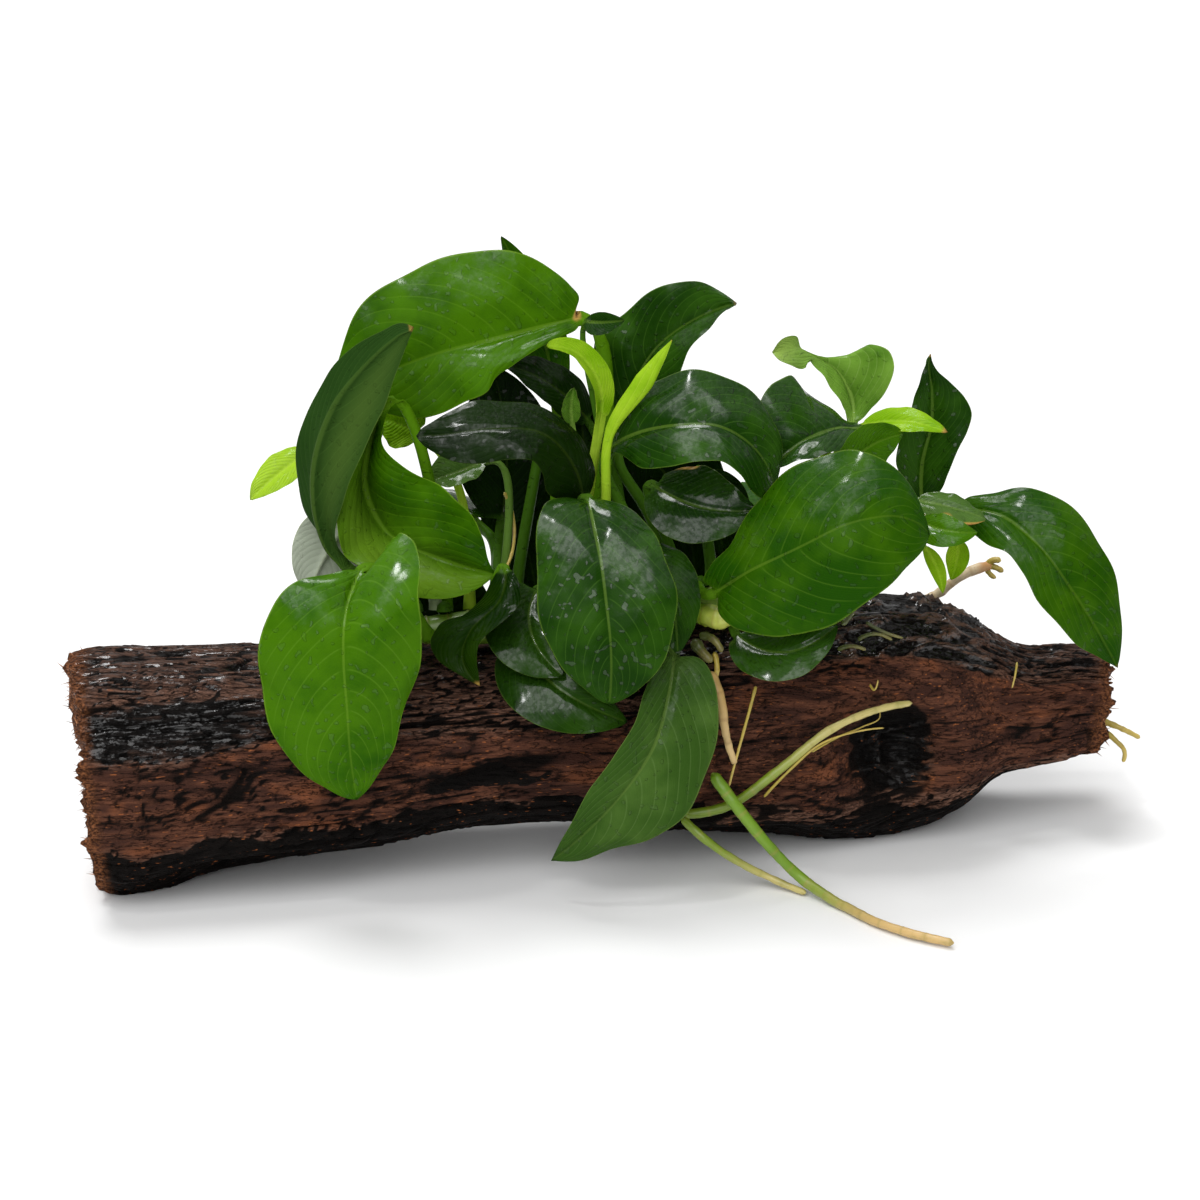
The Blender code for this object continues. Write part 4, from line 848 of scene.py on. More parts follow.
# The leaves that the photograph shows. rib is the midrib from base to tip, as picture points with
# their depth, and face is where the upper face looks at the base and on to the tip. wide holds the
# half widths left and right of the midrib, seen on the upper face with the tip up. stalk holds where
# the stalk leaves the rhizome: its X, the angle there (0 front, 90 top, 180 back) and how far it runs
# straight. LEAF_DEFAULTS says what the other words mean. The large leaves have both rims traced
# instead of widths, from base to tip.
LEAVES = (
    dict(name="leaf_front_left",
         rib=((360, 572, -36), (350, 596, -42), (344, 630, -48), (344, 665, -50),
               (347, 710, -50), (351, 760, -47), (357, 800, -44)),
         left=((360, 572, -36), (378, 566, -34), (390, 548, -33), (399, 531, -34),
                (411, 536, -37), (418, 552, -41), (420, 575, -45), (418, 595, -47),
                (422, 625, -47), (421, 655, -46), (413, 690, -45), (400, 722, -45),
                (384, 762, -44), (370, 787, -44), (357, 800, -44)),
         right=((360, 572, -36), (335, 572, -38), (308, 579, -40), (285, 595, -42),
                 (266, 622, -44), (258, 655, -45), (260, 690, -45), (272, 724, -45),
                 (292, 760, -45), (320, 784, -44), (342, 797, -44), (357, 800, -44)),
         face=((0.05, -0.8, 0.6), (0, -1, 0.25), (0, -1, 0.1)), stalk=(-42, 5, 8), tone="fresh"),
    dict(name="leaf_left_dark",
         rib=((345, 562, -12), (322, 520, -13), (318, 470, -13), (335, 410, -13),
               (372, 360, -14), (414, 327, -14)),
         left=((345, 562, -12), (338, 545, -16), (337, 520, -18), (343, 498, -19),
                (356, 466, -19), (370, 440, -18), (380, 415, -18), (390, 388, -17),
                (402, 357, -16), (410, 337, -15), (414, 327, -14)),
         right=((345, 562, -12), (322, 538, -10), (305, 512, -8), (298, 480, -7), (298, 445, -7),
                 (306, 413, -8), (322, 384, -9), (333, 366, -10), (352, 348, -11),
                 (380, 332, -12), (402, 323, -13), (414, 327, -14)),
         face=((0.5, 0.75, 0), (0.45, 0.8, 0.1), (0.2, 0.9, 0.3)), stalk=(-45, 95, 8), tone="back"),
    dict(name="leaf_left_cup",
         rib=((381, 412, -10), (368, 450, -9), (366, 490, -7), (385, 530, -8), (432, 556, -14),
               (496, 574, -18)),
         left=((381, 412, -10), (383, 436, -13), (392, 455, -15), (418, 477, -17),
                (452, 495, -19), (470, 513, -20), (482, 537, -20), (488, 560, -19),
                (496, 574, -18)),
         right=((381, 412, -10), (372, 432, -13), (356, 465, -15), (345, 487, -16),
                 (338, 508, -17), (336, 535, -17), (344, 556, -17), (365, 570, -18),
                 (395, 590, -19), (430, 599, -20), (460, 596, -20), (482, 586, -19),
                 (496, 574, -18)), face=((0.2, -0.9, 0.3), (0.1, -0.9, 0.3), (-0.2, -0.9, 0.4)),
         stalk=(-38, 135, 16), tone="bright"),
    dict(name="leaf_top_left", rib=((577, 318, 11), (505, 335, 6), (425, 357, 3), (342, 392, 3)),
         left=((577, 318, 11), (566, 334, 8), (545, 345, 5), (512, 366, 1), (495, 379, -1),
                (489, 391, -2), (465, 402, -2), (440, 414, -2), (415, 419, -2), (385, 413, -1),
                (358, 404, 1), (342, 392, 3)),
         right=((577, 318, 11), (580, 300, 13), (569, 284, 14), (548, 266, 15), (515, 254, 15),
                 (465, 252, 14), (415, 268, 12), (378, 290, 10), (352, 320, 8), (340, 352, 6),
                 (336, 375, 4), (342, 392, 3)),
         face=((0, -0.9, 0.5), (0, -0.95, 0.35), (-0.1, -0.9, 0.3)), stalk=(-1, 112, 22), stalk_r=1.9,
         reach=0.2, tone="bright"),
    dict(name="leaf_top_back", rib=((556, 400, 20), (535, 310, 26), (501, 236, 24)),
         face=((0.2, -0.9, 0.3), (0, -0.9, 0.5)), wide=(13, 13), curl=(0.1, 0.1), stalk=(-13, 135, 20),
         tone="fresh"),
    dict(name="leaf_top_mid",
         rib=((618, 436, 9), (630, 395, 13), (655, 350, 14), (690, 322, 11), (737, 303, 6)),
         left=((618, 436, 9), (604, 420, 13), (597, 395, 16), (593, 362, 18), (597, 334, 19),
                (620, 315, 19), (645, 295, 18), (672, 284, 16), (700, 282, 13), (720, 291, 9),
                (737, 303, 6)),
         right=((618, 436, 9), (645, 428, 6), (668, 402, 4), (681, 374, 4), (688, 352, 5),
                 (700, 336, 5), (718, 318, 5), (737, 303, 6)),
         face=((-0.3, -0.8, 0.5), (-0.3, -0.8, 0.55), (-0.2, -0.7, 0.6)), stalk=(16, 105, 25),
         tone="dark"),
    dict(name="leaf_top_small", rib=((586, 321, 2), (604, 322, -2), (624, 320, -5)),
         face=((0, -0.9, 0.4),), wide=(2.5, 3.5), curl=(0, 0), stalk=(5, 92, 30), stalk_r=0.8,
         reach=0.1, tone="dark", small=True),
    dict(name="leaf_mid_right",
         rib=((612, 446, -9), (640, 432, -14), (680, 425, -18), (720, 426, -20), (750, 443, -20),
               (775, 488, -17)),
         left=((612, 446, -9), (621, 418, -9), (638, 390, -9), (662, 377, -9), (690, 371, -10),
                (722, 376, -11), (748, 388, -12), (768, 408, -13), (780, 440, -14),
                (775, 488, -17)),
         right=((612, 446, -9), (624, 457, -15), (642, 468, -19), (668, 467, -23),
                 (700, 461, -25), (722, 461, -26), (738, 474, -26), (750, 490, -24),
                 (764, 498, -20), (775, 488, -17)),
         face=((-0.2, -0.7, 0.8), (0, -0.65, 0.8), (0.5, -0.7, 0.5)), stalk=(12, 70, 22), tone="dark"),
    dict(name="leaf_droplet", rib=((860, 428, -2), (835, 428, -5), (805, 440, -9), (767, 471, -12)),
         left=((860, 428, -2), (868, 438, -6), (848, 448, -11), (822, 455, -14), (795, 464, -15),
                (778, 469, -14), (767, 471, -12)),
         right=((860, 428, -2), (842, 418, 2), (820, 400, 4), (803, 388, 4), (793, 373, 3),
                 (776, 382, 0), (762, 398, -4), (755, 418, -8), (757, 442, -10), (767, 471, -12)),
         face=((0.1, -0.6, 0.8), (-0.2, -0.75, 0.6)), stalk=(38, 90, 20), tone="dark"),
    dict(name="leaf_cup_right",
         rib=((853, 420, 13), (851, 396, 17), (838, 372, 19), (815, 357, 17), (795, 348, 14),
               (772, 352, 11)),
         left=((853, 420, 13), (840, 404, 13), (830, 388, 13), (820, 370, 14), (810, 360, 14),
                (803, 369, 11), (790, 366, 9), (778, 359, 9), (772, 352, 11)),
         right=((853, 420, 13), (873, 407, 12), (887, 390, 11), (894, 366, 11), (888, 350, 13),
                 (874, 347, 17), (850, 356, 21), (822, 359, 20), (806, 349, 18), (796, 336, 15),
                 (782, 339, 12), (772, 352, 11)),
         face=((0.2, -0.9, 0.3), (0.1, -0.6, 0.8), (0, -0.35, 0.95)), stalk=(44, 150, 24),
         tone="light"),
    dict(name="leaf_yellow", rib=((862, 425, 3), (902, 420, -4), (948, 432, -9)),
         face=((0, -0.6, 0.8),), wide=(4.5, 4), curl=(-0.2, -0.2), stalk=(48, 80, 20), stalk_r=0.9,
         tone="lime", small=True),
    dict(name="leaf_right_up",
         rib=((922, 502, 10), (922, 465, 10), (932, 420, 11), (932, 390, 10), (929, 364, 7),
               (931, 354, 6)),
         left=((922, 502, 10), (906, 484, 9), (896, 462, 8), (900, 438, 9), (910, 414, 9),
                (916, 392, 8), (921, 374, 6), (928, 361, 6), (931, 354, 6)),
         right=((922, 502, 10), (938, 494, 9), (948, 474, 7), (958, 450, 7), (968, 430, 8),
                 (972, 414, 9), (964, 397, 10), (950, 382, 9), (937, 370, 8), (931, 354, 6)),
         face=((0.1, -0.95, 0.2),), stalk=(53, 140, 16), tone="dark"),
    dict(name="leaf_front_right",
         rib=((716, 592, -23), (745, 574, -28), (800, 546, -33), (860, 520, -34),
               (900, 516, -32), (930, 534, -28)),
         left=((716, 592, -23), (706, 586, -22), (709, 566, -22), (730, 542, -21),
                (757, 507, -20), (783, 475, -20), (810, 458, -21), (845, 448, -22),
                (872, 457, -24), (900, 474, -26), (917, 497, -27), (926, 517, -28),
                (930, 534, -28)),
         right=((716, 592, -23), (718, 610, -26), (736, 627, -29), (762, 635, -32),
                 (790, 636, -34), (820, 630, -36), (852, 613, -37), (880, 593, -37),
                 (904, 572, -35), (922, 552, -32), (930, 534, -28)),
         face=((-0.2, -0.9, 0.4), (0, -0.95, 0.3), (0.2, -0.95, 0.3)), stalk=(24, 65, 4), tone="fresh"),
    dict(name="leaf_behind_right", rib=((842, 470, -14), (872, 446, -10), (904, 434, -6)),
         face=((0.1, -0.9, -0.2),), wide=(7, 7), curl=(0.1, 0.1), stalk=(40, 60, 12), stalk_r=1.2,
         tone="fresh", small=True),
    dict(name="leaf_dried_edge", rib=((918, 500, -5), (950, 506, -8), (987, 519, -9)),
         face=((0, -0.6, 0.8),), wide=(4, 6.5), curl=(-0.2, -0.2), stalk=(60, 70, 12), stalk_r=1,
         tone="dull", small=True),
    dict(name="leaf_right_low", rib=((918, 520, -15), (945, 530, -20), (978, 532, -20)),
         face=((0, -0.8, 0.5),), wide=(4, 4.5), curl=(-0.2, -0.2), stalk=(57, 40, 10), stalk_r=0.9,
         tone="fresh", small=True),
    dict(name="leaf_far_right",
         rib=((958, 512, 2), (1000, 514, -4), (1035, 542, -10), (1070, 586, -15),
               (1095, 625, -15), (1118, 668, -12)),
         left=((958, 512, 2), (968, 499, 3), (1000, 492, 2), (1035, 491, -1), (1063, 501, -4),
                (1088, 524, -7), (1107, 556, -9), (1118, 592, -11), (1122, 635, -12),
                (1118, 668, -12)),
         right=((958, 512, 2), (970, 530, -4), (988, 545, -9), (1008, 553, -13),
                 (1024, 573, -16), (1036, 600, -18), (1056, 622, -19), (1078, 646, -18),
                 (1100, 658, -15), (1118, 668, -12)),
         face=((0.1, -0.8, 0.7), (0.4, -0.8, 0.55), (0.5, -0.85, 0.3)), stalk=(61.5, 97, 8),
         tone="fresh"),
    dict(name="leaf_strip", rib=((925, 548, -8), (937, 568, -10), (943, 594, -11)),
         face=((0, -0.9, 0.3),), wide=(2, 2), curl=(0, 0), stalk=(52, 65, 5), stalk_r=0.7, tone="lime",
         small=True),
    dict(name="leaf_pale_small", rib=((958, 541, 4), (957, 560, 3), (951, 580, 1)),
         face=((0, -0.9, 0.3),), wide=(3, 3), curl=(0, 0), stalk=(61, 140, 5), stalk_r=0.7,
         tone="lime", small=True),
    dict(name="leaf_front_mid",
         rib=((588, 500, -20), (594, 525, -27), (601, 560, -34), (606, 600, -38),
               (611, 650, -42), (609, 705, -40)),
         left=((588, 500, -20), (612, 502, -20), (636, 510, -22), (650, 528, -26),
                (664, 558, -31), (677, 592, -35), (675, 625, -38), (665, 655, -40),
                (648, 680, -41), (628, 697, -41), (609, 705, -40)),
         right=((588, 500, -20), (568, 497, -21), (548, 503, -23), (538, 520, -27),
                 (536, 560, -32), (537, 600, -36), (547, 640, -39), (565, 672, -41),
                 (588, 693, -41), (609, 705, -40)),
         face=((0, -0.6, 0.8), (0, -0.9, 0.45), (0, -0.95, 0.2)), stalk=(-7, 25, 10), tone="dark"),
    dict(name="leaf_behind_mid", rib=((645, 545, -16), (670, 592, -27), (678, 655, -31)),
         face=((0.3, -0.8, 0.5),), wide=(8, 8), stalk=(17, 50, 8), stalk_r=1.2, tone="dark",
         small=True),
    dict(name="leaf_low_mid",
         rib=((674, 656, -27), (668, 700, -35), (655, 745, -41), (612, 806, -45), (551, 861, -42)),
         left=((674, 656, -27), (700, 660, -27), (714, 684, -30), (718, 718, -34),
                (715, 752, -38), (700, 786, -41), (682, 818, -43), (655, 837, -44),
                (618, 850, -44), (582, 860, -43), (551, 861, -42)),
         right=((674, 656, -27), (658, 664, -30), (646, 688, -36), (634, 722, -42),
                 (614, 756, -45), (590, 790, -47), (570, 824, -46), (551, 861, -42)),
         face=((0.1, -0.85, 0.5), (0.2, -0.95, 0.2), (0.1, -1, 0.1)), stalk=(13, 25, 6), tone="dull"),
    dict(name="leaf_curled",
         rib=((505, 570, -21), (500, 598, -27), (470, 632, -31), (462, 655, -33), (480, 686, -36)),
         left=((505, 570, -21), (514, 574, -23), (521, 595, -27), (514, 613, -31),
                (494, 628, -34), (478, 643, -36), (478, 662, -37), (480, 686, -36)),
         right=((505, 570, -21), (492, 580, -21), (482, 602, -22), (462, 616, -24),
                 (438, 624, -27), (430, 640, -30), (438, 660, -33), (458, 674, -35),
                 (480, 686, -36)), face=((0, -0.8, 0.5),), stalk=(-27, 40, 8), stalk_r=1.2,
         tone="fresh"),
    dict(name="leaf_low_left", rib=((537, 590, -14), (531, 632, -26), (563, 676, -35)),
         face=((0, -0.85, 0.5),), wide=(7.5, 11), stalk=(-14, 55, 6), stalk_r=1.2, tone="dark",
         small=True),
    dict(name="leaf_lowest", rib=((520, 640, -19), (556, 686, -34), (628, 722, -36)),
         face=((0, -0.85, 0.5),), wide=(9, 11), stalk=(-12, 30, 6), stalk_r=1.2, tone="dark",
         small=True),
    dict(name="leaf_under_right", rib=((738, 636, -20), (785, 652, -29), (838, 624, -30)),
         face=((0, -0.7, 0.7),), wide=(8, 8), stalk=(34, 30, 6), stalk_r=1.2, tone="dark", small=True),
    dict(name="leaf_between", rib=((655, 486, -8), (700, 506, -15), (758, 510, -18)),
         face=((0, -0.8, 0.5),), wide=(10, 10), stalk=(20, 80, 10), stalk_r=1.2, tone="dark",
         small=True),
    dict(name="leaf_mid_left", rib=((582, 500, -12), (568, 455, -18), (540, 432, -21), (490, 428, -23),
               (450, 434, -23), (416, 436, -22)),
         left=((582, 500, -12), (560, 500, -18), (545, 490, -22), (543, 474, -25),
                (533, 461, -27), (510, 459, -28), (480, 464, -28), (455, 462, -27),
                (435, 453, -25), (422, 444, -23), (416, 436, -22)),
         right=((582, 500, -12), (594, 478, -10), (590, 452, -11), (577, 432, -12),
                 (558, 415, -13), (530, 405, -14), (500, 401, -15), (470, 401, -17),
                 (450, 410, -19), (432, 422, -21), (420, 430, -22), (416, 436, -22)),
         face=((0.3, -0.7, 0.6), (0.1, -0.7, 0.7), (-0.1, -0.6, 0.8)), stalk=(-8, 80, 10), tone="dark"),
    dict(name="leaf_far_left", rib=((308, 452, 14), (282, 470, 11), (250, 500, 6)),
         face=((0, -0.7, 0.7),), wide=(4.5, 5), curl=(-0.2, -0.2), stalk=(-46, 150, 14), stalk_r=0.9,
         tone="lime", small=True),
    dict(name="leaf_pale_back", rib=((352, 516, 2), (328, 550, -1), (308, 598, -5)),
         face=((0.1, 0.9, 0.3),), wide=(9, 10), curl=(0.1, 0.1), stalk=(-40, 110, 10), stalk_r=1.2,
         tone="silver", small=True),
    dict(name="leaf_left_small", rib=((482, 462, 0), (450, 474, -2), (424, 482, -2)),
         face=((0, -0.7, 0.7),), wide=(5, 6), fold=(0.3, 0.3), curl=(0.1, 0.1), stalk=(-24, 80, 12),
         stalk_r=1, tone="dull", small=True),
    dict(name="leaf_left_bright", rib=((418, 433, 12), (400, 424, 12), (376, 418, 12)),
         face=((0, -0.8, 0.6),), wide=(4, 4.5), curl=(0, 0), stalk=(-32, 125, 14), stalk_r=1.1,
         tone="lime", small=True),
    dict(name="leaf_bud", rib=((572, 422, 4), (571, 405, 3), (574, 388, 2)), face=((0, -0.9, 0.3),),
         wide=(2.6, 2.8), fold=(0.4, 0.4), curl=(0.3, 0.3), stalk=(-9.5, 112, 14), stalk_r=0.8,
         tone="light", small=True),
    dict(name="leaf_dark_inner", rib=((588, 420, 14), (548, 382, 12), (500, 362, 10)),
         face=((0, -0.6, 0.8),), wide=(6, 7), curl=(-0.2, -0.2), stalk=(-5, 135, 16), stalk_r=1,
         tone="dark", small=True),
    dict(name="leaf_sheath", rib=((601, 415, -5), (594, 372, -8), (576, 352, -9.5), (546, 346, -11)),
         face=((0.2, -0.9, 0.3), (0, -0.8, 0.5)), wide=(2.2, 3.6), fold=(0.3, 0.3), curl=(0.2, 0.2),
         lobe=(0, 0), shape=(0.4, 0.5), stalk=(-4.6, 86, 20), stalk_r=1.3, tone="lime", small=True),
)

# Leaves behind the crown, which the photograph can't show: their ribs are in mm.
BACK_LEAVES = (
    dict(name="leaf_back_left", rib=((-32, 20, 80), (-48, 32, 84), (-62, 40, 68)),
         face=((-0.2, 0.5, 0.9),), wide=(13, 13), stalk=(-26, 140, 12), tone="dark"),
    dict(name="leaf_back_mid", rib=((-16, 24, 98), (-19, 27, 86), (-22, 27, 64)),
         face=((0, -0.9, 0.3),), wide=(12, 13), stalk=(-21, 150, 14), tone="dark"),
    dict(name="leaf_back_high", rib=((8, 22, 100), (18, 25, 88), (25, 25, 66)), face=((0, -0.9, 0.3),),
         wide=(14, 14), stalk=(8, 150, 20), tone="dark"),
    dict(name="leaf_back_right", rib=((42, 22, 82), (52, 36, 84), (62, 44, 68)),
         face=((0.2, 0.5, 0.9),), wide=(14, 14), stalk=(36, 150, 14), tone="fresh"),
    dict(name="leaf_back_low", rib=((26, 16, 92), (30, 20, 80), (32, 20, 66)), face=((0, -0.9, 0.3),),
         wide=(9, 9), stalk=(28, 120, 8), tone="dark"),
)

# The growing tip of the rhizome and the rolled new leaf, as picture points with their depth.
TIP_PATH = ((690, 610, -11), (708, 615, -16), (732, 621, -20))
SPEAR_PATH = ((608, 600, -10.8), (606, 500, -12), (611, 430, -13), (644, 382, -13), (672, 340, -12))

# The roots: picture points with their depth, or GROUND where they lie on the ground, then the
# radius at both ends, the finish and how many points the curve has.
ROOTS = {
    "root_front_long": (((712, 773, -30), (734, 803, -33), (768, 845, -35), (800, 877, -35),
                         (836, 902, GROUND), (890, 927, GROUND), (954, 943, GROUND)),
                        1.5, 1.0, "root_tan", 16),
    "root_front_green": (((682, 818, -30), (706, 840, -33), (735, 860, -33), (766, 876, -32),
                          (806, 893, GROUND)),
                         1.1, 0.8, "root_green", 10),
    "root_on_log": (((684, 814, -26), (722, 808, -25), (779, 770, -23), (830, 730, -20), (912, 703, -12)),
                    1.3, 0.8, "root_green", 12),
    "root_tan_short": (((708, 672, -24), (720, 700, -28), (726, 735, -29), (735, 764, -28)),
                       1.6, 0.7, "root_tan", 8),
    "root_cream_back": (((915, 604, 30), (940, 592, 34), (961, 576, 34), (992, 565, 36)),
                        1.2, 1.4, "root_tan", 8),
    "root_right_end": (((1100, 720, 22), (1118, 727, 20), (1140, 738, 19)),
                       0.9, 0.6, "root_tan", 6),
    "root_right_fork": (((1104, 731, 20), (1116, 741, 18), (1124, 750, 17), (1123, 762, 17)),
                        0.8, 0.5, "root_tan", 6),
}

print(len(LEAVES), "leaves in the photograph and", len(BACK_LEAVES), "behind them")

# %% Where leaves are dry, torn or pale, and where light is painted on them
# Each mark: where it lies along and across the blade, its reach each way and its strength.
DRY = {
    "leaf_top_left": ((0.0, 0.6, 0.022, 0.9, 0.8),),
    "leaf_left_dark": ((1.0, 0.0, 0.018, 9.0, 0.55),),
    "leaf_top_mid": ((1.0, 0.0, 0.02, 9.0, 0.4),),
    "leaf_droplet": ((1.0, 0.0, 0.05, 9.0, 0.6),),
    "leaf_dried_edge": ((0.4, 1.0, 0.6, 0.2, 1.0), (0.45, 0.7, 0.08, 0.3, 0.8)),
    "leaf_right_up": ((1.0, 0.0, 0.02, 9.0, 0.9),),
    "leaf_far_right": ((1.0, 0.0, 0.015, 9.0, 0.5),),
    "leaf_yellow": ((1.0, 0.0, 0.06, 9.0, 0.6),),
    "leaf_curled": ((1.0, 0.0, 0.04, 9.0, 0.5),),
    "leaf_between": ((0.2, -1.0, 0.1, 0.1, 0.7),),
}
# Pale marks: the pale tip of leaf_cup_right is its own colour; on leaf_left_cup and leaf_left_dark they are
# painted light, for light shining through the lobe and for sheen.
PALE_AND_LIT = {
    "leaf_left_dark": ((0.55, -0.55, 0.5, 0.4, 0.35),),
    "leaf_cup_right": ((1.0, 0.0, 0.22, 3.0, 0.75),),
    "leaf_left_cup": ((0.65, 0.6, 0.4, 0.6, 0.65),),
}


# How far painted shade darkens each leaf that stands in the shade of others, and its width as a share of its
# solid's.
PAINTED_SHADE = {
    "leaf_curled": 0.8,
    "leaf_mid_left": 0.78,
    "leaf_top_left": 0.15,
    "leaf_front_right": 0.25,
    "leaf_far_right": 0.3,
    "leaf_low_mid": 0.15,
    "leaf_dark_inner": 0.7,
    "leaf_low_left": 0.45,
    "leaf_lowest": 0.4,
    "leaf_between": 0.35,
    "leaf_back_low": 0.6,
    "leaf_back_mid": 0.6,
    "leaf_back_high": 0.6,
    "leaf_back_left": 0.3,
    "leaf_under_right": 0.25,
    "leaf_behind_mid": 0.2,
    "leaf_left_dark": 0.2,
}
WIDTHS = {"leaf_top_back": 0.45, "leaf_left_bright": 1.7}


def marks(leaf, table, at, across):
    """How strong the marks of one kind are at these places."""
    total = np.zeros(np.broadcast(at, across).shape)
    for where, side, reach, spread, strength in table.get(leaf["name"], ()):
        near = ((at - where) / reach) ** 2 + ((across - side) / spread) ** 2
        total = np.maximum(total, strength * np.exp(-near))
    return total


print(len(DRY), "leaves have dry marks")

# %% [markdown]
# ## The skin of a leaf
#
# The blade gets its fine relief along its true surface directions, because a curled blade faces many
# ways. Side veins leave the midrib in a bow towards the tip, so a vein is a line on which the place
# along the leaf, less a sweep that grows towards the rim, stays the same. Shape and colour use the
# same line, and the colour always sits in the groove.

# %% Fine relief, thickness and the numbers that the leaf materials read
BLADE_ROWS = (110, 64)
STALK_ROWS = 20
SPREAD = np.linspace(-1, 1, 37)
TOP_ACROSS = np.sort(np.append(np.sign(SPREAD) * np.abs(SPREAD) ** 1.2, (-0.985, 0.985)))
BOTTOM = np.arange(len(TOP_ACROSS) - 2, 0, -1)
SIDE_VEINS = 12
VEIN_SWEEP = 0.42
VEIN_BEND = 1.35
BLADE_THICKNESS = 0.5
RIM_THICKNESS = 0.16
JOIN_FROM = 0.7


def surface_normals(points, face):
    """Directions out of the upper face, which fade to the leaf's plain ones at base and tip."""
    along, across = np.gradient(points, axis=0), np.gradient(points, axis=1)
    normals = np.cross(across, along)
    size = np.linalg.norm(normals, axis=-1, keepdims=True)
    normals = normals / np.maximum(size, 1e-9)
    normals = normals * np.where((normals * face[:, None]).sum(axis=-1, keepdims=True) < 0, -1, 1)
    run = np.linspace(0, 1, len(points))[:, None, None]
    trust = ease(run, 0.02, 0.14) * (1 - ease(run, 0.96, 1.0))
    return unit(trust * normals + (1 - trust) * face[:, None])


def blade_relief(leaf, at, across, reach, seed):
    """Height of the blade's surface over its plain bend."""
    size = reach.max()
    side = np.abs(across)
    veins = at - VEIN_SWEEP * side**VEIN_BEND
    body = ease(side, 0.03, 0.2) * (1 - ease(side, 0.8, 1.0)) * ease(at, 0.0, 0.12) * (1 - ease(at, 0.88, 1))
    quilt = 0.07 * np.sqrt(np.abs(np.sin(np.pi * SIDE_VEINS * veins))) * body * min(1.0, size / 12)
    groove = -0.28 * np.exp(-((across * reach / 0.9) ** 2)) * ease(at, 0.0, 0.1)
    phase = seed * 1.7 + np.where(across < 0, 0.0, 2.4)
    wave = np.sin(2 * np.pi * 2.3 * at + phase) + 0.7 * np.sin(2 * np.pi * 4.6 * at + 2 * phase)
    rim = 0.03 * size * wave * side**3 * ease(at, 0.0, 0.2) * (1 - ease(at, 0.8, 1.0))
    where = np.stack(np.broadcast_arrays(at * 5, across * 2.2, 0.0), axis=-1)
    uneven = 0.03 * size * noise(where, seed) * ease(at, 0, 0.15) * (1 - ease(at, 0.85, 1))
    return quilt + groove + rim + uneven


def blade_skin(leaf, seed):
    """Rows of points round the blade, upper face first, where they lie on it, and how level it is."""
    rows = BLADE_ROWS[leaf["small"]]
    at = (np.arange(rows) / rows) ** 1.25 * 0.997
    shape = traced_blade if "left" in leaf else folded_blade
    points, reach = shape(leaf, at, TOP_ACROSS)
    face = blade_frame(leaf, at)[3]
    normals = surface_normals(points, face)
    at = at[:, None]
    radius = leaf["stalk_r"] * (1 - 0.85 * at**0.7)
    thick = RIM_THICKNESS + (BLADE_THICKNESS - RIM_THICKNESS) * (1 - np.abs(TOP_ACROSS) ** 4)
    thick = thick * (1 - TOP_ACROSS**20) * (1 - 0.5 * at**4)
    thick = thick + 1.5 * radius * np.exp(-((TOP_ACROSS * reach / (0.9 * radius)) ** 2))
    upper = points + blade_relief(leaf, at, TOP_ACROSS, reach, seed)[..., None] * normals
    lower = upper - thick[..., None] * normals
    across = np.concatenate((TOP_ACROSS, TOP_ACROSS[BOTTOM]))
    from_rib = np.abs(np.concatenate((TOP_ACROSS * reach, (TOP_ACROSS * reach)[:, BOTTOM]), axis=1))
    level = ease(normals[..., 2], 0.2, 0.75)
    level = np.concatenate((level, level[:, BOTTOM]), axis=1)
    return np.concatenate((upper, lower[:, BOTTOM]), axis=1), at, across, from_rib, level


def stalk_rows(leaf, across, first_row):
    """Rings of the stalk from its foot, which turn into the blade's first row."""
    upper = np.arange(len(across)) < len(TOP_ACROSS)
    turns = np.arccos(np.clip(across, -1, 1))
    turns = np.where(upper, turns, -turns)
    bend = stalk_path(leaf)
    base_right = blade_frame(leaf, np.array((0.0,)))[2][0]
    rings = []
    for t in np.arange(STALK_ROWS) / STALK_ROWS:
        middle, along = on_bend(bend, t)
        right = unit(base_right - np.dot(base_right, along) * along)
        spoke = np.cos(turns)[:, None] * right + np.sin(turns)[:, None] * np.cross(right, along)
        foot = 1 + 0.35 * (1 - ease(t, 0.0, 0.18))
        ring = middle + leaf["stalk_r"] * (STALK_FOOT - STALK_TAPER * t) * foot * spoke
        join = ease(t, JOIN_FROM, 1.0)
        rings.append((1 - join) * ring + join * (first_row + middle - bend[3]))
    return rings, upper


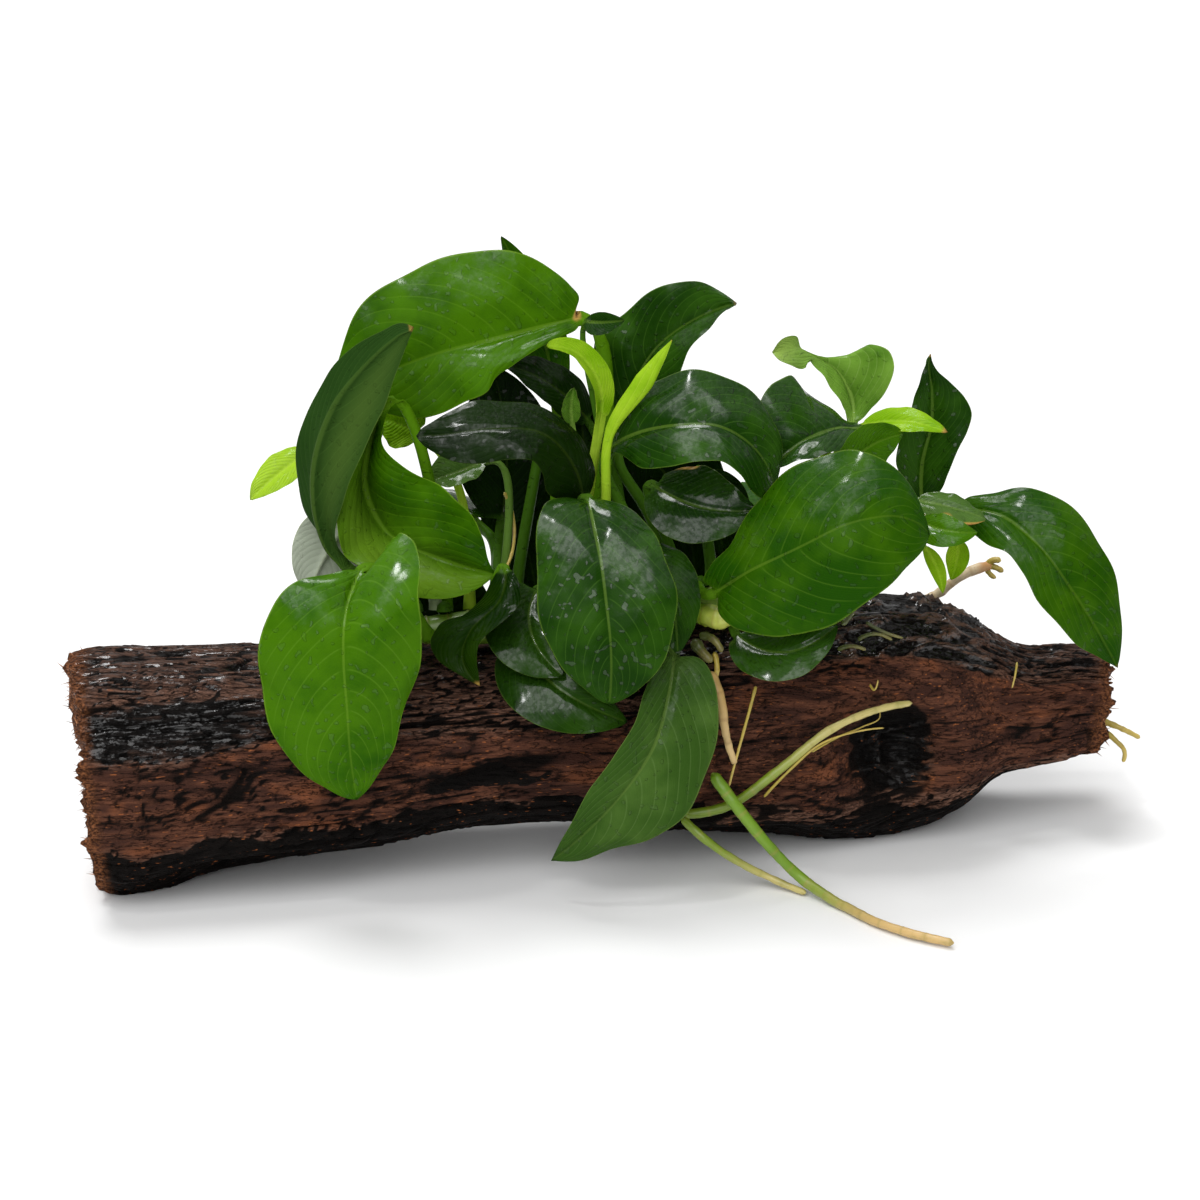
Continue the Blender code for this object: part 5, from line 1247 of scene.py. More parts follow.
def leaf_mesh(leaf, seed):
    """The closed mesh of one leaf, stalk and blade in one."""
    blade, at, across, from_rib, level = blade_skin(leaf, seed)
    stalk, upper = stalk_rows(leaf, across, blade[0])
    below = (STALK_ROWS, len(across))

    def whole(blade_numbers, stalk_number=0.0):
        return np.vstack((np.full(below, stalk_number), np.broadcast_to(blade_numbers, blade.shape[:2])))

    run = np.arange(STALK_ROWS)[:, None] / STALK_ROWS
    numbers = {
        "above": whole(upper * 1.0, 0.5),
        "level": whole(level),
        "along": whole(at),
        "across": whole(across),
        "from_rib": whole(from_rib),
        "stalk": np.vstack((
            np.broadcast_to(1 - 0.4 * ease(run, 0.75, 1.0), below),
            np.broadcast_to(0.6 * (1 - ease(at, 0.0, 0.05)), blade.shape[:2]),
        )),
        "dry": whole(marks(leaf, DRY, at, across)),
        "pale": whole(marks(leaf, PALE_AND_LIT, at, across)),
        "tint": np.full((STALK_ROWS + len(blade), len(across)), noise(np.array((seed * 3.7, 0.5, 0.5)), 5)),
        "painted_shade": np.full((STALK_ROWS + len(blade), len(across)), PAINTED_SHADE.get(leaf["name"], 0.0)),
    }
    name = leaf["name"].replace("leaf_", "") + "_leaf"
    return skin(name, stalk + list(blade), numbers, (stalk[0].mean(axis=0), np.asarray(leaf["rib"][-1])))


def read_leaf(leaf):
    """A leaf with its defaults, and its measured lines turned into places."""
    lines = {word: [seen(*point) for point in leaf[word]] for word in TRACED if word in leaf}
    whole = {**LEAF_DEFAULTS, **leaf, **lines}
    if leaf["name"] in WIDTHS:
        whole["wide"] = tuple(WIDTHS[leaf["name"]] * width for width in leaf["wide"])
    return whole


trial = leaf_mesh(read_leaf(LEAVES[0]), 1)
print("a large leaf has", len(trial.vertices), "points and", count_triangles(trial), "triangles")
bpy.data.meshes.remove(trial)

# %% [markdown]
# ## The leaves' finish
#
# The upper face of an old leaf is dark green and so glossy that it mirrors the sky in fine grains,
# because each cell of its skin bulges a little and the wet film over it breaks up. Young leaves are
# yellower and softer, and undersides are grey-green and dull. All share one recipe: patches of two
# greens, a lighter midrib, side veins that leave it in a bow, a faint net between them and a thin
# pale rim. Only the colours and the gloss change with the leaf's age, so the recipe is a function and
# the ages are a table.

# %% One recipe, and a table of leaf ages
# Upper face dark and light, veins, underside, then roughness, gloss and how broken the wet film is.
LEAF_AGES = {
    # The bright age is partly painted light: light shining through the young blades is painted into its
    # greens.
    "bright": ((36, 79, 0), (67, 115, 0), (96, 141, 26), (83, 127, 3), 0.42, 0.5, 0.5),
    "fresh": ((31, 77, 0), (63, 108, 3), (94, 136, 35), (63, 106, 7), 0.38, 0.6, 0.6),
    "dark": ((18, 50, 2), (42, 79, 11), (70, 108, 34), (48, 86, 8), 0.34, 1.0, 1.0),
    "light": ((56, 102, 8), (106, 147, 50), (147, 175, 96), (114, 145, 64), 0.4, 0.5, 0.4),
    "lime": ((113, 162, 4), (152, 190, 38), (179, 201, 75), (141, 177, 38), 0.42, 0.3, 0.2),
    "dull": ((52, 84, 26), (78, 110, 44), (104, 134, 72), (88, 120, 52), 0.45, 0.5, 0.6),
    "back": ((28, 58, 14), (52, 86, 30), (68, 102, 42), (30, 62, 16), 0.44, 0.5, 0.4),
    "silver": ((128, 140, 119), (169, 177, 160), (149, 160, 136), (158, 166, 149), 0.46, 0.3, 0.2),
}


def leaf_finish(tone):
    """The finish of a leaf of this age."""
    dark, light, vein, under, rough, gloss, broken = LEAF_AGES[tone]
    paint = Paint("leaf_" + tone, coat_roughness=0.13, mirror=0.03)
    words = ("above", "level", "along", "across", "from_rib", "stalk", "dry", "pale", "tint", "painted_shade")
    above, level, along, across, from_rib, stalk, dry, pale, tint, painted_shade = map(paint.number, words)
    side = across.size()
    patches = paint.clouds(11.0, 11.0, 11.0, detail=3.0)
    fine = paint.clouds(1.4, 1.4, 1.4, detail=3.0, roughness=0.6)
    turn = (along - VEIN_SWEEP * side**VEIN_BEND) * (math.pi * SIDE_VEINS)
    between = turn.sine().size()
    side_veins = (1 - between.fade(0.03, 0.2)) * (1 - side.fade(0.8, 0.97)) * side.fade(0.0, 0.1)
    net = 1 - (turn * 6.0 + fine * 4.0).sine().size().fade(0.0, 0.35)
    midrib = 1 - (from_rib - (1 - along) * 0.25).fade(0.05, 0.3)
    rim = side.fade(0.972, 0.996)
    green = paint.mix((patches + tint * 0.35).fade(0.28, 0.72), srgb(*dark), srgb(*light))
    green = paint.mix(side_veins * 0.32 + net * 0.08, green, srgb(*vein))
    back = paint.mix(side_veins * 0.3 + patches * 0.3, srgb(*under), srgb(*vein))
    colour = paint.mix(above, back, green)
    light_rib = srgb(*(0.72 * part + 0.28 * full for part, full in zip(vein, (206, 222, 90))))
    colour = paint.mix(midrib * (1 - along * 0.6) * (0.1 + 0.35 * gloss), colour, light_rib)
    colour = paint.mix(rim * 0.5, colour, light_rib)
    # Pale marks, partly painted light: light shining through a lobe and sheen are painted in as a lighter
    # green.
    colour = paint.mix(pale * 0.8, colour, light_rib)
    stem_green = srgb(*(0.75 * part + 0.25 * full for part, full in zip(light, (96, 136, 10))))
    # Painted shade: a leaf that stands in the shade of others is darkened towards near black, its stalk less.
    colour = paint.mix(painted_shade * (1 - stalk * 0.6), colour, srgb(2, 8, 0))
    colour = paint.mix(stalk, colour, paint.mix(fine * 0.5, stem_green, srgb(*vein)))
    colour = paint.mix(dry.fade(0.1, 0.45), colour, srgb(176, 142, 72))
    colour = paint.mix((dry + fine * 0.2).fade(0.5, 0.9), colour, srgb(98, 66, 38))
    grains = paint.clouds(1.0, 1.0, 1.0, detail=2.0)
    drifts = paint.clouds(7.0, 7.0, 7.0, detail=4.0, roughness=0.6)
    drops = paint.clouds(1.5, 1.5, 1.5, detail=0.0).fade(0.68, 0.74)
    film = (drifts + level * 0.4 - 0.2).fade(0.38, 0.7) * above
    covered = film * (0.45 + grains.fade(0.4, 0.6) * 0.35) + drops * above * 0.5
    shine = (above * 0.1 + covered) * (1 - painted_shade * 0.6) * gloss - dry * 0.4
    roughness = rough + (1 - above) * 0.08 + fine * 0.1 + dry * 0.25
    beaded = (grains * film * 3.2 + drops * 2.6) * broken
    normal = paint.bump(fine * 0.6 + between * 0.6 + beaded, 0.14)
    return paint.finish(base_color=colour, roughness=roughness, coat_weight=shine.fade(0, 1), normal=normal)


leaf_finishes = {tone: leaf_finish(tone) for tone in LEAF_AGES}
print(len(leaf_finishes), "ages of leaf")

# %% [markdown]
# ## Shaded leaves in the heart of the crown
#
# Between the stalks the photograph shows no daylight: older, dark leaves stand there one behind the
# other in the shade of the crown, and only scraps of them can be seen. Five small leaves in the gaps
# stand for them, darkened nearly to black by painted shade. They have no solids, because nothing but
# their darkness is known.

# %% The leaves in the gaps
INNER_LEAVES = (
    dict(name="leaf_inner_1", rib=((502, 520, 14), (506, 440, 18), (492, 366, 18)), wide=(13, 12),
         stalk=(-25, 110, 10)),
    dict(name="leaf_inner_2", rib=((446, 646, 3), (448, 604, 3), (452, 556, 5)), wide=(10, 11),
         stalk=(-38, 95, 4)),
    dict(name="leaf_inner_3", rib=((542, 640, 6), (536, 590, 7), (524, 536, 8)), wide=(9, 9),
         stalk=(-15, 100, 5)),
    dict(name="leaf_inner_4", rib=((702, 640, 6), (697, 585, 8), (690, 530, 8)), wide=(9, 9),
         stalk=(25, 100, 5)),
    dict(name="leaf_inner_5", rib=((588, 500, 14), (584, 450, 16), (580, 398, 16)), wide=(9, 9),
         stalk=(-4, 110, 10)),
)
INNER_LOOK = {"face": ((0, -0.9, 0.35),), "tone": "dark", "small": True, "shape": (0.6, 0.8)}
# Strong painted shade for the leaves in the gaps.
for leaf in INNER_LEAVES:
    PAINTED_SHADE[leaf["name"]] = 0.72
print(len(INNER_LEAVES), "leaves in the gaps")

# %% Every leaf, in place of its solid
leaf_triangles = 0
all_leaves = [read_leaf(leaf) for leaf in LEAVES]
all_leaves += [{**LEAF_DEFAULTS, **leaf} for leaf in BACK_LEAVES]
all_leaves += [read_leaf({**leaf, **INNER_LOOK}) for leaf in INNER_LEAVES]
for number, leaf in enumerate(all_leaves):
    mesh = leaf_mesh(leaf, number + 1)
    solid = leaf["name"] if number < len(LEAVES + BACK_LEAVES) else None
    show(mesh.name, mesh, leaf_finishes[leaf["tone"]], "leaf_" + leaf["tone"], solid)
    leaf_triangles += count_triangles(mesh)
print(len(all_leaves), "leaves with", leaf_triangles, "triangles")

# %% [markdown]
# ## Stems and roots that grow by a rule
#
# The creeping stem carries a ring wherever an old leaf stood, and roots swell and wander a little.
# Both are a round section that follows a path, with a rule for its surface, and that is what Geometry
# Nodes does well: a curve goes in with a radius at every point, rings and lumps are pushed out of the
# tube, and a mesh with its material comes out. One tree serves them all, with its own numbers.

# %% The tree that grows a stem
def new_tree(name, inputs):
    """A Geometry Nodes tree with a geometry input and output and these named inputs."""
    tree = bpy.data.node_groups.new(name, "GeometryNodeTree")
    tree.interface.new_socket("Geometry", in_out="INPUT", socket_type="NodeSocketGeometry")
    tree.interface.new_socket("Geometry", in_out="OUTPUT", socket_type="NodeSocketGeometry")
    for word, (kind, value) in inputs.items():
        made = tree.interface.new_socket(word, in_out="INPUT", socket_type="NodeSocket" + kind)
        if value is not None:
            made.default_value = value
    graph = Graph(tree)
    source = tree.nodes.new("NodeGroupInput")
    graph.inputs = {socket.name: Socket(graph, socket) for socket in source.outputs if socket.name}
    graph.output = tree.nodes.new("NodeGroupOutput").inputs[0]
    return tree, graph


def store(graph, geometry, word, value):
    """Keeps a number on every point, for the material."""
    settings = {"data_type": "FLOAT", "domain": "POINT"}
    return graph.add("GeometryNodeStoreNamedAttribute", settings, Geometry=geometry, Name=word, Value=value)


def close_tree(graph, geometry):
    """Every tree ends with real geometry that has its material."""
    geometry = graph.add("GeometryNodeRealizeInstances", None, geometry)
    geometry = graph.add("GeometryNodeSetMaterial", Geometry=geometry, Material=graph.inputs["Material"])
    graph.give(graph.output, geometry)


STEM_INPUTS = {
    "Sides": ("Int", 18),
    "Step": ("Float", 0.4 * MM),
    "Ring Spacing": ("Float", 6.0 * MM),
    "Ring Depth": ("Float", 0.0),
    "Lump Size": ("Float", 3.0 * MM),
    "Lump Depth": ("Float", 0.0),
    "Seed": ("Float", 0.0),
    "Material": ("Material", None),
}


def stem_tree():
    tree, graph = new_tree("stem", STEM_INPUTS)
    given = graph.inputs
    length = {"mode": "LENGTH"}
    path = graph.add("GeometryNodeResampleCurve", length, Curve=given["Geometry"], Length=given["Step"])
    path = store(graph, path, "run", graph.add("GeometryNodeSplineParameter", output=1))
    path = store(graph, path, "share", graph.add("GeometryNodeSplineParameter", output=0))
    ring = graph.add("GeometryNodeCurvePrimitiveCircle", {"mode": "RADIUS"}, given["Sides"], Radius=1.0)
    radius = graph.add("GeometryNodeInputRadius")
    tube = graph.add("GeometryNodeCurveToMesh", Curve=path, Profile_Curve=ring, Scale=radius, Fill_Caps=True)
    run = graph.add("GeometryNodeInputNamedAttribute", {"data_type": "FLOAT"}, "run")
    beat = (run / given["Ring Spacing"] + given["Seed"]) * math.pi
    scar = 1 - beat.sine().size().fade(0.0, 0.28)
    spot = graph.add("GeometryNodeInputPosition")
    scaled = graph.add("ShaderNodeVectorMath", {"operation": "SCALE"}, spot, Scale=1 / given["Lump Size"])
    lump = graph.add("ShaderNodeTexNoise", {"noise_dimensions": "4D"}, scaled, given["Seed"], 1.0, 2.0)
    push = scar * given["Ring Depth"] + (lump - 0.5) * given["Lump Depth"]
    out = graph.add("GeometryNodeInputNormal")
    offset = graph.add("ShaderNodeVectorMath", {"operation": "SCALE"}, out, Scale=push)
    tube = graph.add("GeometryNodeSetPosition", Geometry=tube, Offset=offset)
    close_tree(graph, store(graph, tube, "ring", scar))
    return tree


stem_rule = stem_tree()
print("the stem tree has", len(stem_rule.nodes), "nodes")

# %% Growing a stem along a path
def grow(source, tree, **values):
    """Runs a tree on an object with these input values and gives the mesh that comes out."""
    change = source.modifiers.new("grow", "NODES")
    change.node_group = tree
    named = {item.name: item.identifier for item in tree.interface.items_tree if item.in_out == "INPUT"}
    for word, value in values.items():
        change[named[word.replace("_", " ")]] = value
    bpy.context.view_layer.update()
    mesh = bpy.data.meshes.new_from_object(source.evaluated_get(bpy.context.evaluated_depsgraph_get()))
    source.modifiers.remove(change)
    bpy.data.objects.remove(source)
    return mesh


def path_object(*lines):
    """A curve with one spline for each line of points and radii, in millimetres."""
    curve = bpy.data.curves.new("path", "CURVE")
    curve.dimensions = "3D"
    for points, radii in lines:
        spline = curve.splines.new("POLY")
        spline.points.add(len(points) - 1)
        for spot, point, radius in zip(spline.points, points, radii):
            spot.co = (*((np.asarray(point) - MIDDLE) * MM), 1.0)
            spot.radius = radius * MM
    made = bpy.data.objects.new("path", curve)
    bpy.context.scene.collection.objects.link(made)
    return made


def stem_mesh(name, lines, material, **values):
    """Stems or roots along these lines; steps and depths are given in millimetres."""
    plain = ("Sides", "Seed")
    scaled = {word: value if word in plain else value * MM for word, value in values.items()}
    mesh = grow(path_object(*lines), stem_rule, Material=material, **scaled)
    mesh.name = name
    mesh.shade_smooth()
    return mesh


def stem_finish(name, start, end, turn, ring_colour, rough, gloss):
    """Skin of a stem or root: one colour turns into another along it, with rings and brown specks."""
    paint = Paint(name, coat_roughness=0.15)
    ring, share = paint.number("ring"), paint.number("share")
    patches = paint.clouds(5.0, 5.0, 5.0, detail=3.0)
    fine = paint.clouds(0.7, 0.7, 0.7, detail=3.0, roughness=0.65)
    colour = paint.mix((share + (patches - 0.5) * 0.3).fade(*turn), srgb(*start), srgb(*end))
    colour = paint.mix(patches.fade(0.45, 0.75) * 0.4, colour, srgb(*(0.75 * part for part in start)))
    colour = paint.mix(fine.fade(0.6, 0.8) * 0.5, colour, srgb(*ring_colour))
    colour = paint.mix(ring * 0.45, colour, srgb(*ring_colour))
    return paint.finish(base_color=colour, roughness=rough + fine * 0.15, coat_weight=gloss,
                        normal=paint.bump(fine, 0.1))


# Colour at the start and at the end, where it turns, colour of rings and specks, roughness, gloss.
STEM_LOOKS = {
    "creeping_stem": ((92, 124, 26), (112, 142, 40), (0.3, 0.8), (112, 92, 46), 0.38, 0.4),
    "young_tip": ((136, 168, 26), (206, 214, 96), (0.3, 0.9), (160, 142, 60), 0.36, 0.4),
    "old_stub": ((74, 84, 30), (118, 112, 52), (0.3, 0.8), (88, 66, 36), 0.42, 0.3),
    "dark_root": ((30, 24, 12), (58, 46, 22), (0.3, 0.8), (20, 14, 8), 0.45, 0.3),
    "green_root": ((116, 142, 22), (196, 182, 110), (0.25, 0.75), (150, 140, 60), 0.36, 0.4),
    "long_root": ((104, 142, 10), (204, 170, 108), (0.35, 0.8), (150, 132, 62), 0.4, 0.3),
    "tan_root": ((178, 146, 84), (208, 178, 122), (0.2, 0.8), (140, 100, 54), 0.48, 0.15),
    "cream_root": ((218, 196, 158), (196, 142, 84), (0.78, 0.92), (176, 128, 80), 0.5, 0.15),
    "yellow_root": ((168, 148, 52), (196, 172, 84), (0.2, 0.8), (150, 120, 50), 0.44, 0.25),
}
stem_finishes = {name: stem_finish(name, *look) for name, look in STEM_LOOKS.items()}
print("finishes for", ", ".join(stem_finishes))

# %% [markdown]
# ## The creeping stem, its tip and the roots
#
# The creeping stem lies along the top of the log and is pinched between old leaf scars. Its growing
# tip is short, thick and yellow-green, and beside it stands the next leaf, still rolled into a spear.
# The long roots leave the crown bare: green where they are young, tan and dry where they are old. The
# longest one reaches the ground and rests on it.

# %% The creeping stem and its tips
RHIZOME_X = (-46, -33, -20, -6, 8, 22, 36, 50, 62)
RHIZOME_SWELL = (0.75, 1.0, 0.92, 1.0, 0.93, 1.0, 0.92, 0.95, 0.7)
TIP_RADII = (2.2, 2.5, 2.7, 2.8, 2.7, 2.2)
GROUND_GAP = 0.2
PATH_POINTS = 80
SHARE = np.linspace(0, 1, PATH_POINTS)


def smooth_path(points, count=PATH_POINTS):
    """Evenly spaced points on a smooth line through these."""
    return along_rib(points, np.linspace(0, 1, count))[0]


def rounded(radii, points):
    """Radii that close the tube to a blunt round end on both sides."""
    steps = np.linalg.norm(np.diff(points, axis=0), axis=1)
    run = np.concatenate(((0.0,), np.cumsum(steps)))
    radii = np.array(radii, float)
    for left in (run, run[-1] - run):
        share = np.clip(left / (radii * 1.1), 0.02, 1.0)
        radii = radii * np.sqrt(1 - (1 - share) ** 2)
    return radii


points = smooth_path([rhizome_at(x) for x in RHIZOME_X])
swell = np.interp(SHARE * (len(RHIZOME_SWELL) - 1), np.arange(len(RHIZOME_SWELL)), RHIZOME_SWELL)
mesh = stem_mesh("rhizome_stem", [(points, rounded(swell * RHIZOME_RADIUS * 0.96, points))],
                 stem_finishes["creeping_stem"], Sides=32, Ring_Spacing=5.2, Ring_Depth=0.3,
                 Lump_Size=5.0, Lump_Depth=0.9, Seed=1.3)
show("rhizome_stem", mesh, stem_finishes["creeping_stem"], "rhizome", "rhizome")

points = smooth_path([seen(*point) for point in TIP_PATH])
radii = np.interp(SHARE, np.linspace(0, 1, len(TIP_RADII)), TIP_RADII)
mesh = stem_mesh("growing_tip", [(points, rounded(radii, points))], stem_finishes["young_tip"],
                 Sides=32, Ring_Spacing=3.4, Ring_Depth=0.22, Lump_Size=2.2, Lump_Depth=1.0, Seed=2.1)
show("growing_tip", mesh, stem_finishes["young_tip"], "leaf_lime", "rhizome_tip")
print("the growing tip has", len(mesh.vertices), "points")

# %% The rolled new leaf
SPEAR_AT = (0, 0.42, 0.6, 0.72, 0.83, 0.94, 1)
SPEAR_RADII = (1.25, 1.15, 1.15, 1.9, 2.35, 1.1, 0.12)
SPEAR_ROWS = 110
SPEAR_SIDES = 44
SPEAR_FLAT = 0.5


def spear_mesh(path):
    """A leaf that is still rolled: flat towards its point, with its free edge as a small step."""
    run = np.linspace(0, 1, SPEAR_ROWS)
    middle, along = along_rib(path, run)
    thick = np.interp(run, SPEAR_AT, SPEAR_RADII)[:, None, None]
    turns = np.linspace(0, 2 * np.pi, SPEAR_SIDES, endpoint=False)
    right = unit(np.cross(along, (0.2, 1.0, 0.1)))
    front = np.cross(right, along)
    blade = ease(run, 0.4, 0.65)[:, None]
    wound = (turns[None, :] - 1.2 * run[:, None] + 1.0) % (2 * np.pi) / (2 * np.pi)
    size = thick * (1 + 0.14 * blade * (wound - 0.5))[..., None]
    flat = (1 - (1 - SPEAR_FLAT) * blade)[..., None]
    spoke = np.cos(turns)[None, :, None] * right[:, None]
    spoke = spoke + flat * np.sin(turns)[None, :, None] * front[:, None]
    tall = np.broadcast_to(run[:, None], wound.shape)
    numbers = {
        "above": np.ones_like(tall), "along": tall * 0.3, "across": (wound - 0.5) * 1.6 * blade,
        "from_rib": 2 + np.abs(wound - 0.5) * 8, "stalk": (1 - ease(tall, 0.35, 0.6)) * 0.7,
        "dry": 0.35 * ease(tall, 0.985, 1.0), "pale": tall * 0, "tint": tall * 0 + 0.3, "painted_shade": tall * 0,
        "level": tall * 0,
    }
    return skin("rolled_leaf", list(middle[:, None] + size * spoke), numbers, (middle[0], middle[-1]))


mesh = spear_mesh([seen(*point) for point in SPEAR_PATH])
show("rolled_leaf", mesh, leaf_finishes["lime"], "leaf_lime", "new_leaf")
print("rolled leaf:", len(mesh.vertices), "points")

# %% The bare roots
ROOT_LOOKS = {
    "root_front_long": "long_root",
    "root_front_green": "green_root",
    "root_on_log": "green_root",
    "root_tan_short": "tan_root",
    "root_cream_back": "cream_root",
    "root_right_end": "yellow_root",
    "root_right_fork": "yellow_root",
}


def root_line(path, thick, thin, seed):
    """Points and radii of a root along picture points, never lower than the ground."""
    points = smooth_path([seen(*point, lift=thick) for point in path])
    wander = noise(np.stack((SHARE * 14, SHARE * 0, SHARE * 0 + seed), axis=-1), seed)
    radii = np.interp(SHARE, (0, 1), (thick, thin)) * (1 + 0.1 * wander)
    points[:, 2] = np.maximum(points[:, 2], radii + GROUND_GAP)
    return points, rounded(radii, points)


for seed, (name, (path, thick, thin, slot, _)) in enumerate(ROOTS.items()):
    bare = name.replace("root_", "") + "_root"
    finish = stem_finishes[ROOT_LOOKS[name]]
    mesh = stem_mesh(bare, [root_line(path, thick, thin, seed + 3)], finish, Ring_Spacing=6.1,
                     Ring_Depth=0.05, Lump_Size=2.2, Lump_Depth=0.3 * thick, Seed=float(seed))
    show(bare, mesh, finish, slot, name)
print(len(ROOTS), "long roots")

# %% [markdown]
# ## Fine roots and stubs
#
# Hair-thin side roots cling to the wood, and a few cut stubs of old leaves and roots stand on the log
# by the crown. They are too small for solids. The stem tree takes a curve with many lines at once, so
# each of the two groups is one mesh.

# %% Thin roots on the log, and short stubs
# Each line: picture points with their depth, then the radius at both ends.
THIN_ROOTS = (
    (((986, 567, 36), (994, 560, 35), (1001, 561, 34)), 1.0, 0.8),
    (((988, 566, 36), (997, 568, 35), (1003, 572, 35)), 0.9, 0.7),
    (((986, 566, 36), (990, 574, 36), (996, 578, 36)), 0.8, 0.6),
    (((764, 797, -24), (792, 768, -23.5), (819, 745, -21.5), (855, 732, -18), (884, 728, -15)), 0.35, 0.2),
    (((812, 752, -22), (838, 737, -19), (862, 727, -16), (880, 716, -13), (878, 706, -12)), 0.3, 0.15),
    (((756, 686, -24), (748, 716, -27), (738, 752, -28), (729, 786, -29)), 0.4, 0.3),
    (((504, 492, -4), (512, 512, -5), (514, 540, -8), (507, 566, -14)), 0.45, 0.4),
    (((1017, 662, 3), (1015, 676, 0), (1012, 688, -1)), 0.3, 0.2),
    (((870, 684, -14), (874, 690, -15.5), (878, 680, -15)), 0.3, 0.2),
    (((714, 652, -20), (717, 668, -22), (713, 686, -24)), 0.7, 0.5),
)
STUBS = (
    (((838, 650, -12), (852, 646, -14), (866, 650, -15)), 0.65, 0.4),
    (((858, 640, -10), (872, 634, -11), (892, 640, -12)), 0.55, 0.35),
    (((866, 622, -8), (884, 632, -9), (903, 638, -10)), 0.5, 0.3),
    (((842, 625, -14), (852, 612, -12), (862, 596, -10)), 0.8, 0.6),
    (((694, 640, -17), (702, 652, -20), (712, 662, -22)), 1.6, 1.1),
    (((700, 636, -18), (714, 640, -21), (722, 652, -23)), 1.1, 0.8),
)


def thin_lines(table):
    return [root_line(path, thick, thin, seed + 20) for seed, (path, thick, thin) in enumerate(table)]


for name, table, look in (("thin_roots", THIN_ROOTS, "yellow_root"), ("old_stubs", STUBS, "old_stub")):
    mesh = stem_mesh(name, thin_lines(table), stem_finishes[look], Sides=10, Lump_Size=1.0,
                     Lump_Depth=0.15, Ring_Depth=0.05, Ring_Spacing=3.0, Seed=0.5)
    show(name, mesh, stem_finishes[look], "root_tan" if name == "thin_roots" else "rhizome")
    print(name, len(mesh.polygons), "faces")

# %% [markdown]
# ## Torn fibres at the broken ends
#
# Where the log broke, single fibres stick out of the end grain like a worn brush. There are hundreds,
# all alike but for length and lean, so a second tree does the work: it scatters points over the torn
# faces, sets a thin four-sided spike on each, leans and stretches every spike at random from a fixed
# seed, and makes one mesh of them.

# %% The tree that scatters fibres
FIBRE_INPUTS = {
    "Density": ("Float", 110000.0),
    "Length": ("Float", 3.0 * MM),
    "Radius": ("Float", 0.17 * MM),
    "Lean": ("Float", 0.6),
    "Seed": ("Int", 4),
    "Material": ("Material", None),
}


def fibre_tree():
    tree, graph = new_tree("torn_fibres", FIBRE_INPUTS)
    given = graph.inputs

    settings = {"data_type": "FLOAT"}
    tall = graph.add("FunctionNodeRandomValue", settings, None, None, 0.35, 1.0, Seed=11, output=1)
    scatter = {"distribute_method": "RANDOM"}
    points = graph.add("GeometryNodeDistributePointsOnFaces", scatter, Mesh=given["Geometry"],
                       Density=given["Density"], Seed=given["Seed"])
    facing = Socket(graph, points.socket.node.outputs["Normal"])
    spike = graph.add("GeometryNodeMeshCone", {"fill_type": "NONE"}, 4, 2, 1, Radius_Top=0.0,
                      Radius_Bottom=given["Radius"], Depth=given["Length"])
    lean = graph.add("FunctionNodeRandomValue", {"data_type": "FLOAT_VECTOR"}, (-1.0,) * 3, (1.0,) * 3, Seed=7)
    leaning = graph.add("ShaderNodeVectorMath", {"operation": "SCALE"}, lean, Scale=given["Lean"])
    way = graph.add("ShaderNodeVectorMath", {"operation": "ADD"}, facing, leaning)
    turned = graph.add("FunctionNodeAlignRotationToVector", {"axis": "Z"}, Vector=way)
    stretch = graph.add("ShaderNodeCombineXYZ", None, 1.0, 1.0, tall)
    spikes = graph.add("GeometryNodeInstanceOnPoints", Points=points, Instance=spike, Rotation=turned,
                       Scale=stretch)
    close_tree(graph, spikes)
    return tree


fibre_rule = fibre_tree()
print("the fibre tree has", len(fibre_rule.nodes), "nodes")

# %% Fibres on both ends
END_ROWS = 3


def end_face(side):
    """A copy of the torn faces at one end of the log, which carries the fibres."""
    rows = wood_rows[:len(END_IN) + END_ROWS] if side < 0 else wood_rows[-len(END_IN) - END_ROWS:]
    zero = {"torn": np.ones((len(rows), LOG_AROUND))}
    tips = (rows[0].mean(axis=0), rows[-1].mean(axis=0))
    mesh = skin("end_face", rows, zero, tips)
    shape = bmesh.new()
    shape.from_mesh(mesh)
    inward = [face for face in shape.faces if face.normal.x * side < 0.3]
    bmesh.ops.delete(shape, geom=inward, context="FACES")
    shape.to_mesh(mesh)
    shape.free()
    made = bpy.data.objects.new("end_face", mesh)
    bpy.context.scene.collection.objects.link(made)
    return made


def fibre_finish():
    paint = Paint("torn_wood_fibres")
    tufts = paint.clouds(1.6, 1.6, 1.6, detail=2.0)
    colour = paint.mix(tufts.fade(0.3, 0.7), srgb(58, 34, 24), srgb(176, 118, 76))
    return paint.finish(base_color=colour, roughness=0.7 + tufts * 0.1)


fibre_paint = fibre_finish()
for name, side in (("left_end_fibres", -1), ("right_end_fibres", 1)):
    mesh = grow(end_face(side), fibre_rule, Material=fibre_paint)
    mesh.name = name
    place = np.empty(len(mesh.vertices) * 3)
    mesh.vertices.foreach_get("co", place)
    place = np.clip(place.reshape(-1, 3), *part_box("driftwood"))
    mesh.vertices.foreach_set("co", place.ravel())
    show(name, mesh, fibre_paint, "wood")
    print(name, len(mesh.polygons), "faces")

# %% [markdown]
# ## The studio
#
# The photograph stands on a white sweep, lit from high up and a little behind, and as strongly from
# above the camera. Two wide distant lamps give that, and their width softens the shadow under the
# log. They are strong enough to turn floor and background evenly white as far as the picture reaches.
# A third one, small and weak, adds the sharp glints on wet leaves and wood. The sky is weak too: a
# strong one would lie on every wet leaf as a grey veil and fill the dark heart of the plant.

# %% Floor, lights and camera
FLOOR_HALF = 60.0


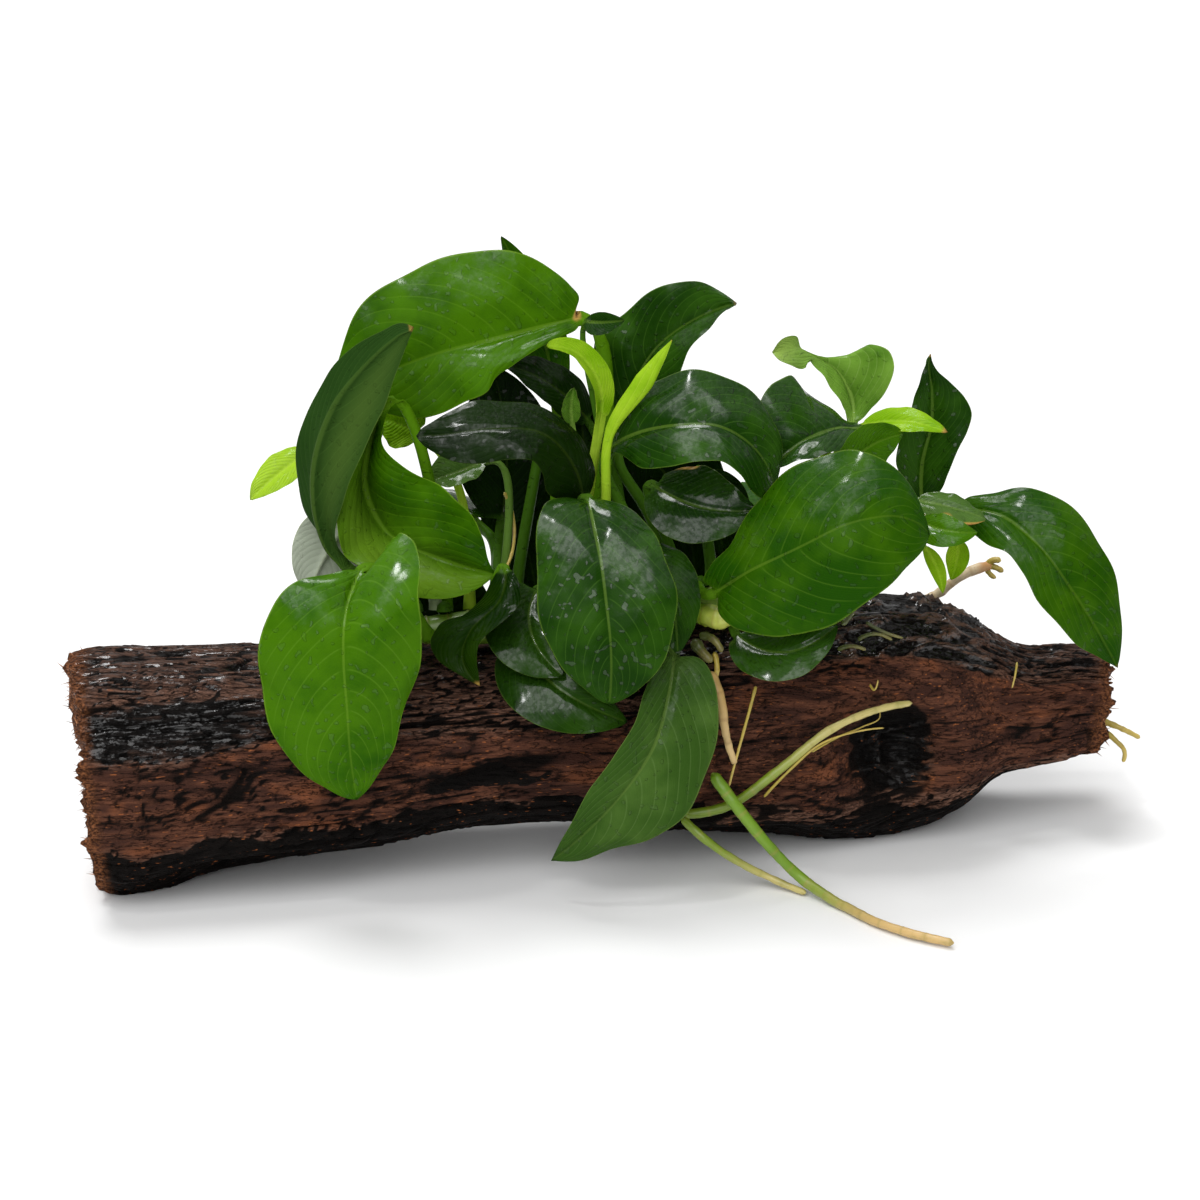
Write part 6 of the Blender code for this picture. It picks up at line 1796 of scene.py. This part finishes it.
def build_floor():
    corners = [(-1, -1), (1, -1), (1, 1), (-1, 1)]
    mesh = bpy.data.meshes.new("floor")
    mesh.from_pydata([(x * FLOOR_HALF, y * FLOOR_HALF, 0.0) for x, y in corners], [], [(0, 1, 2, 3)])
    paint = Paint("pale_floor")
    mesh.materials.append(paint.finish(base_color=(0.9, 0.9, 0.9, 1.0), roughness=0.9))
    floor = bpy.data.objects.new("floor", mesh)
    bpy.context.scene.collection.objects.link(floor)


def light(name, kind, place, aim, power, **settings):
    """A lamp at one place, in metres, that looks at another."""
    data = bpy.data.lights.new(name, kind)
    data.energy = power
    for word, value in settings.items():
        setattr(data, word, value)
    lamp = bpy.data.objects.new(name, data)
    lamp.location = place
    lamp.rotation_euler = (Vector(aim) - Vector(place)).to_track_quat("-Z", "Y").to_euler()
    bpy.context.scene.collection.objects.link(lamp)


build_floor()
light("high_light", "SUN", (-0.25, 0.4, 1.2), (0, 0, 0), 1.55, angle=math.radians(26))
light("front_light", "SUN", (-0.3, -1.0, 1.0), (0, 0, 0), 1.9, angle=math.radians(60))
light("glint_light", "SUN", (-0.35, -0.2, 1.1), (0, 0, 0), 0.3, angle=math.radians(5))

world = bpy.data.worlds.new("dim_room")
bpy.context.scene.world = world
world.use_nodes = True
world.node_tree.nodes["Background"].inputs["Color"].default_value = (1.0, 1.0, 1.0, 1.0)
world.node_tree.nodes["Background"].inputs["Strength"].default_value = 0.36

camera_data = bpy.data.cameras.new("photo_camera")
camera_data.sensor_width = 36.0
camera_data.lens = 36.0 * PIXELS_PER_MM * PHOTO_DISTANCE / PHOTO_SIZE
camera = bpy.data.objects.new("photo_camera", camera_data)
camera.location = (EYE - MIDDLE) * MM
camera.rotation_euler = (math.pi / 2 - PHOTO_PITCH, 0.0, 0.0)
bpy.context.scene.collection.objects.link(camera)
bpy.context.scene.camera = camera
bpy.context.scene.view_settings.view_transform = "Standard"
print("lens", round(camera_data.lens, 1), "mm, camera at", [round(v, 3) for v in camera.location])

# %% Sizes, and the end
print("solids:", cad_box)
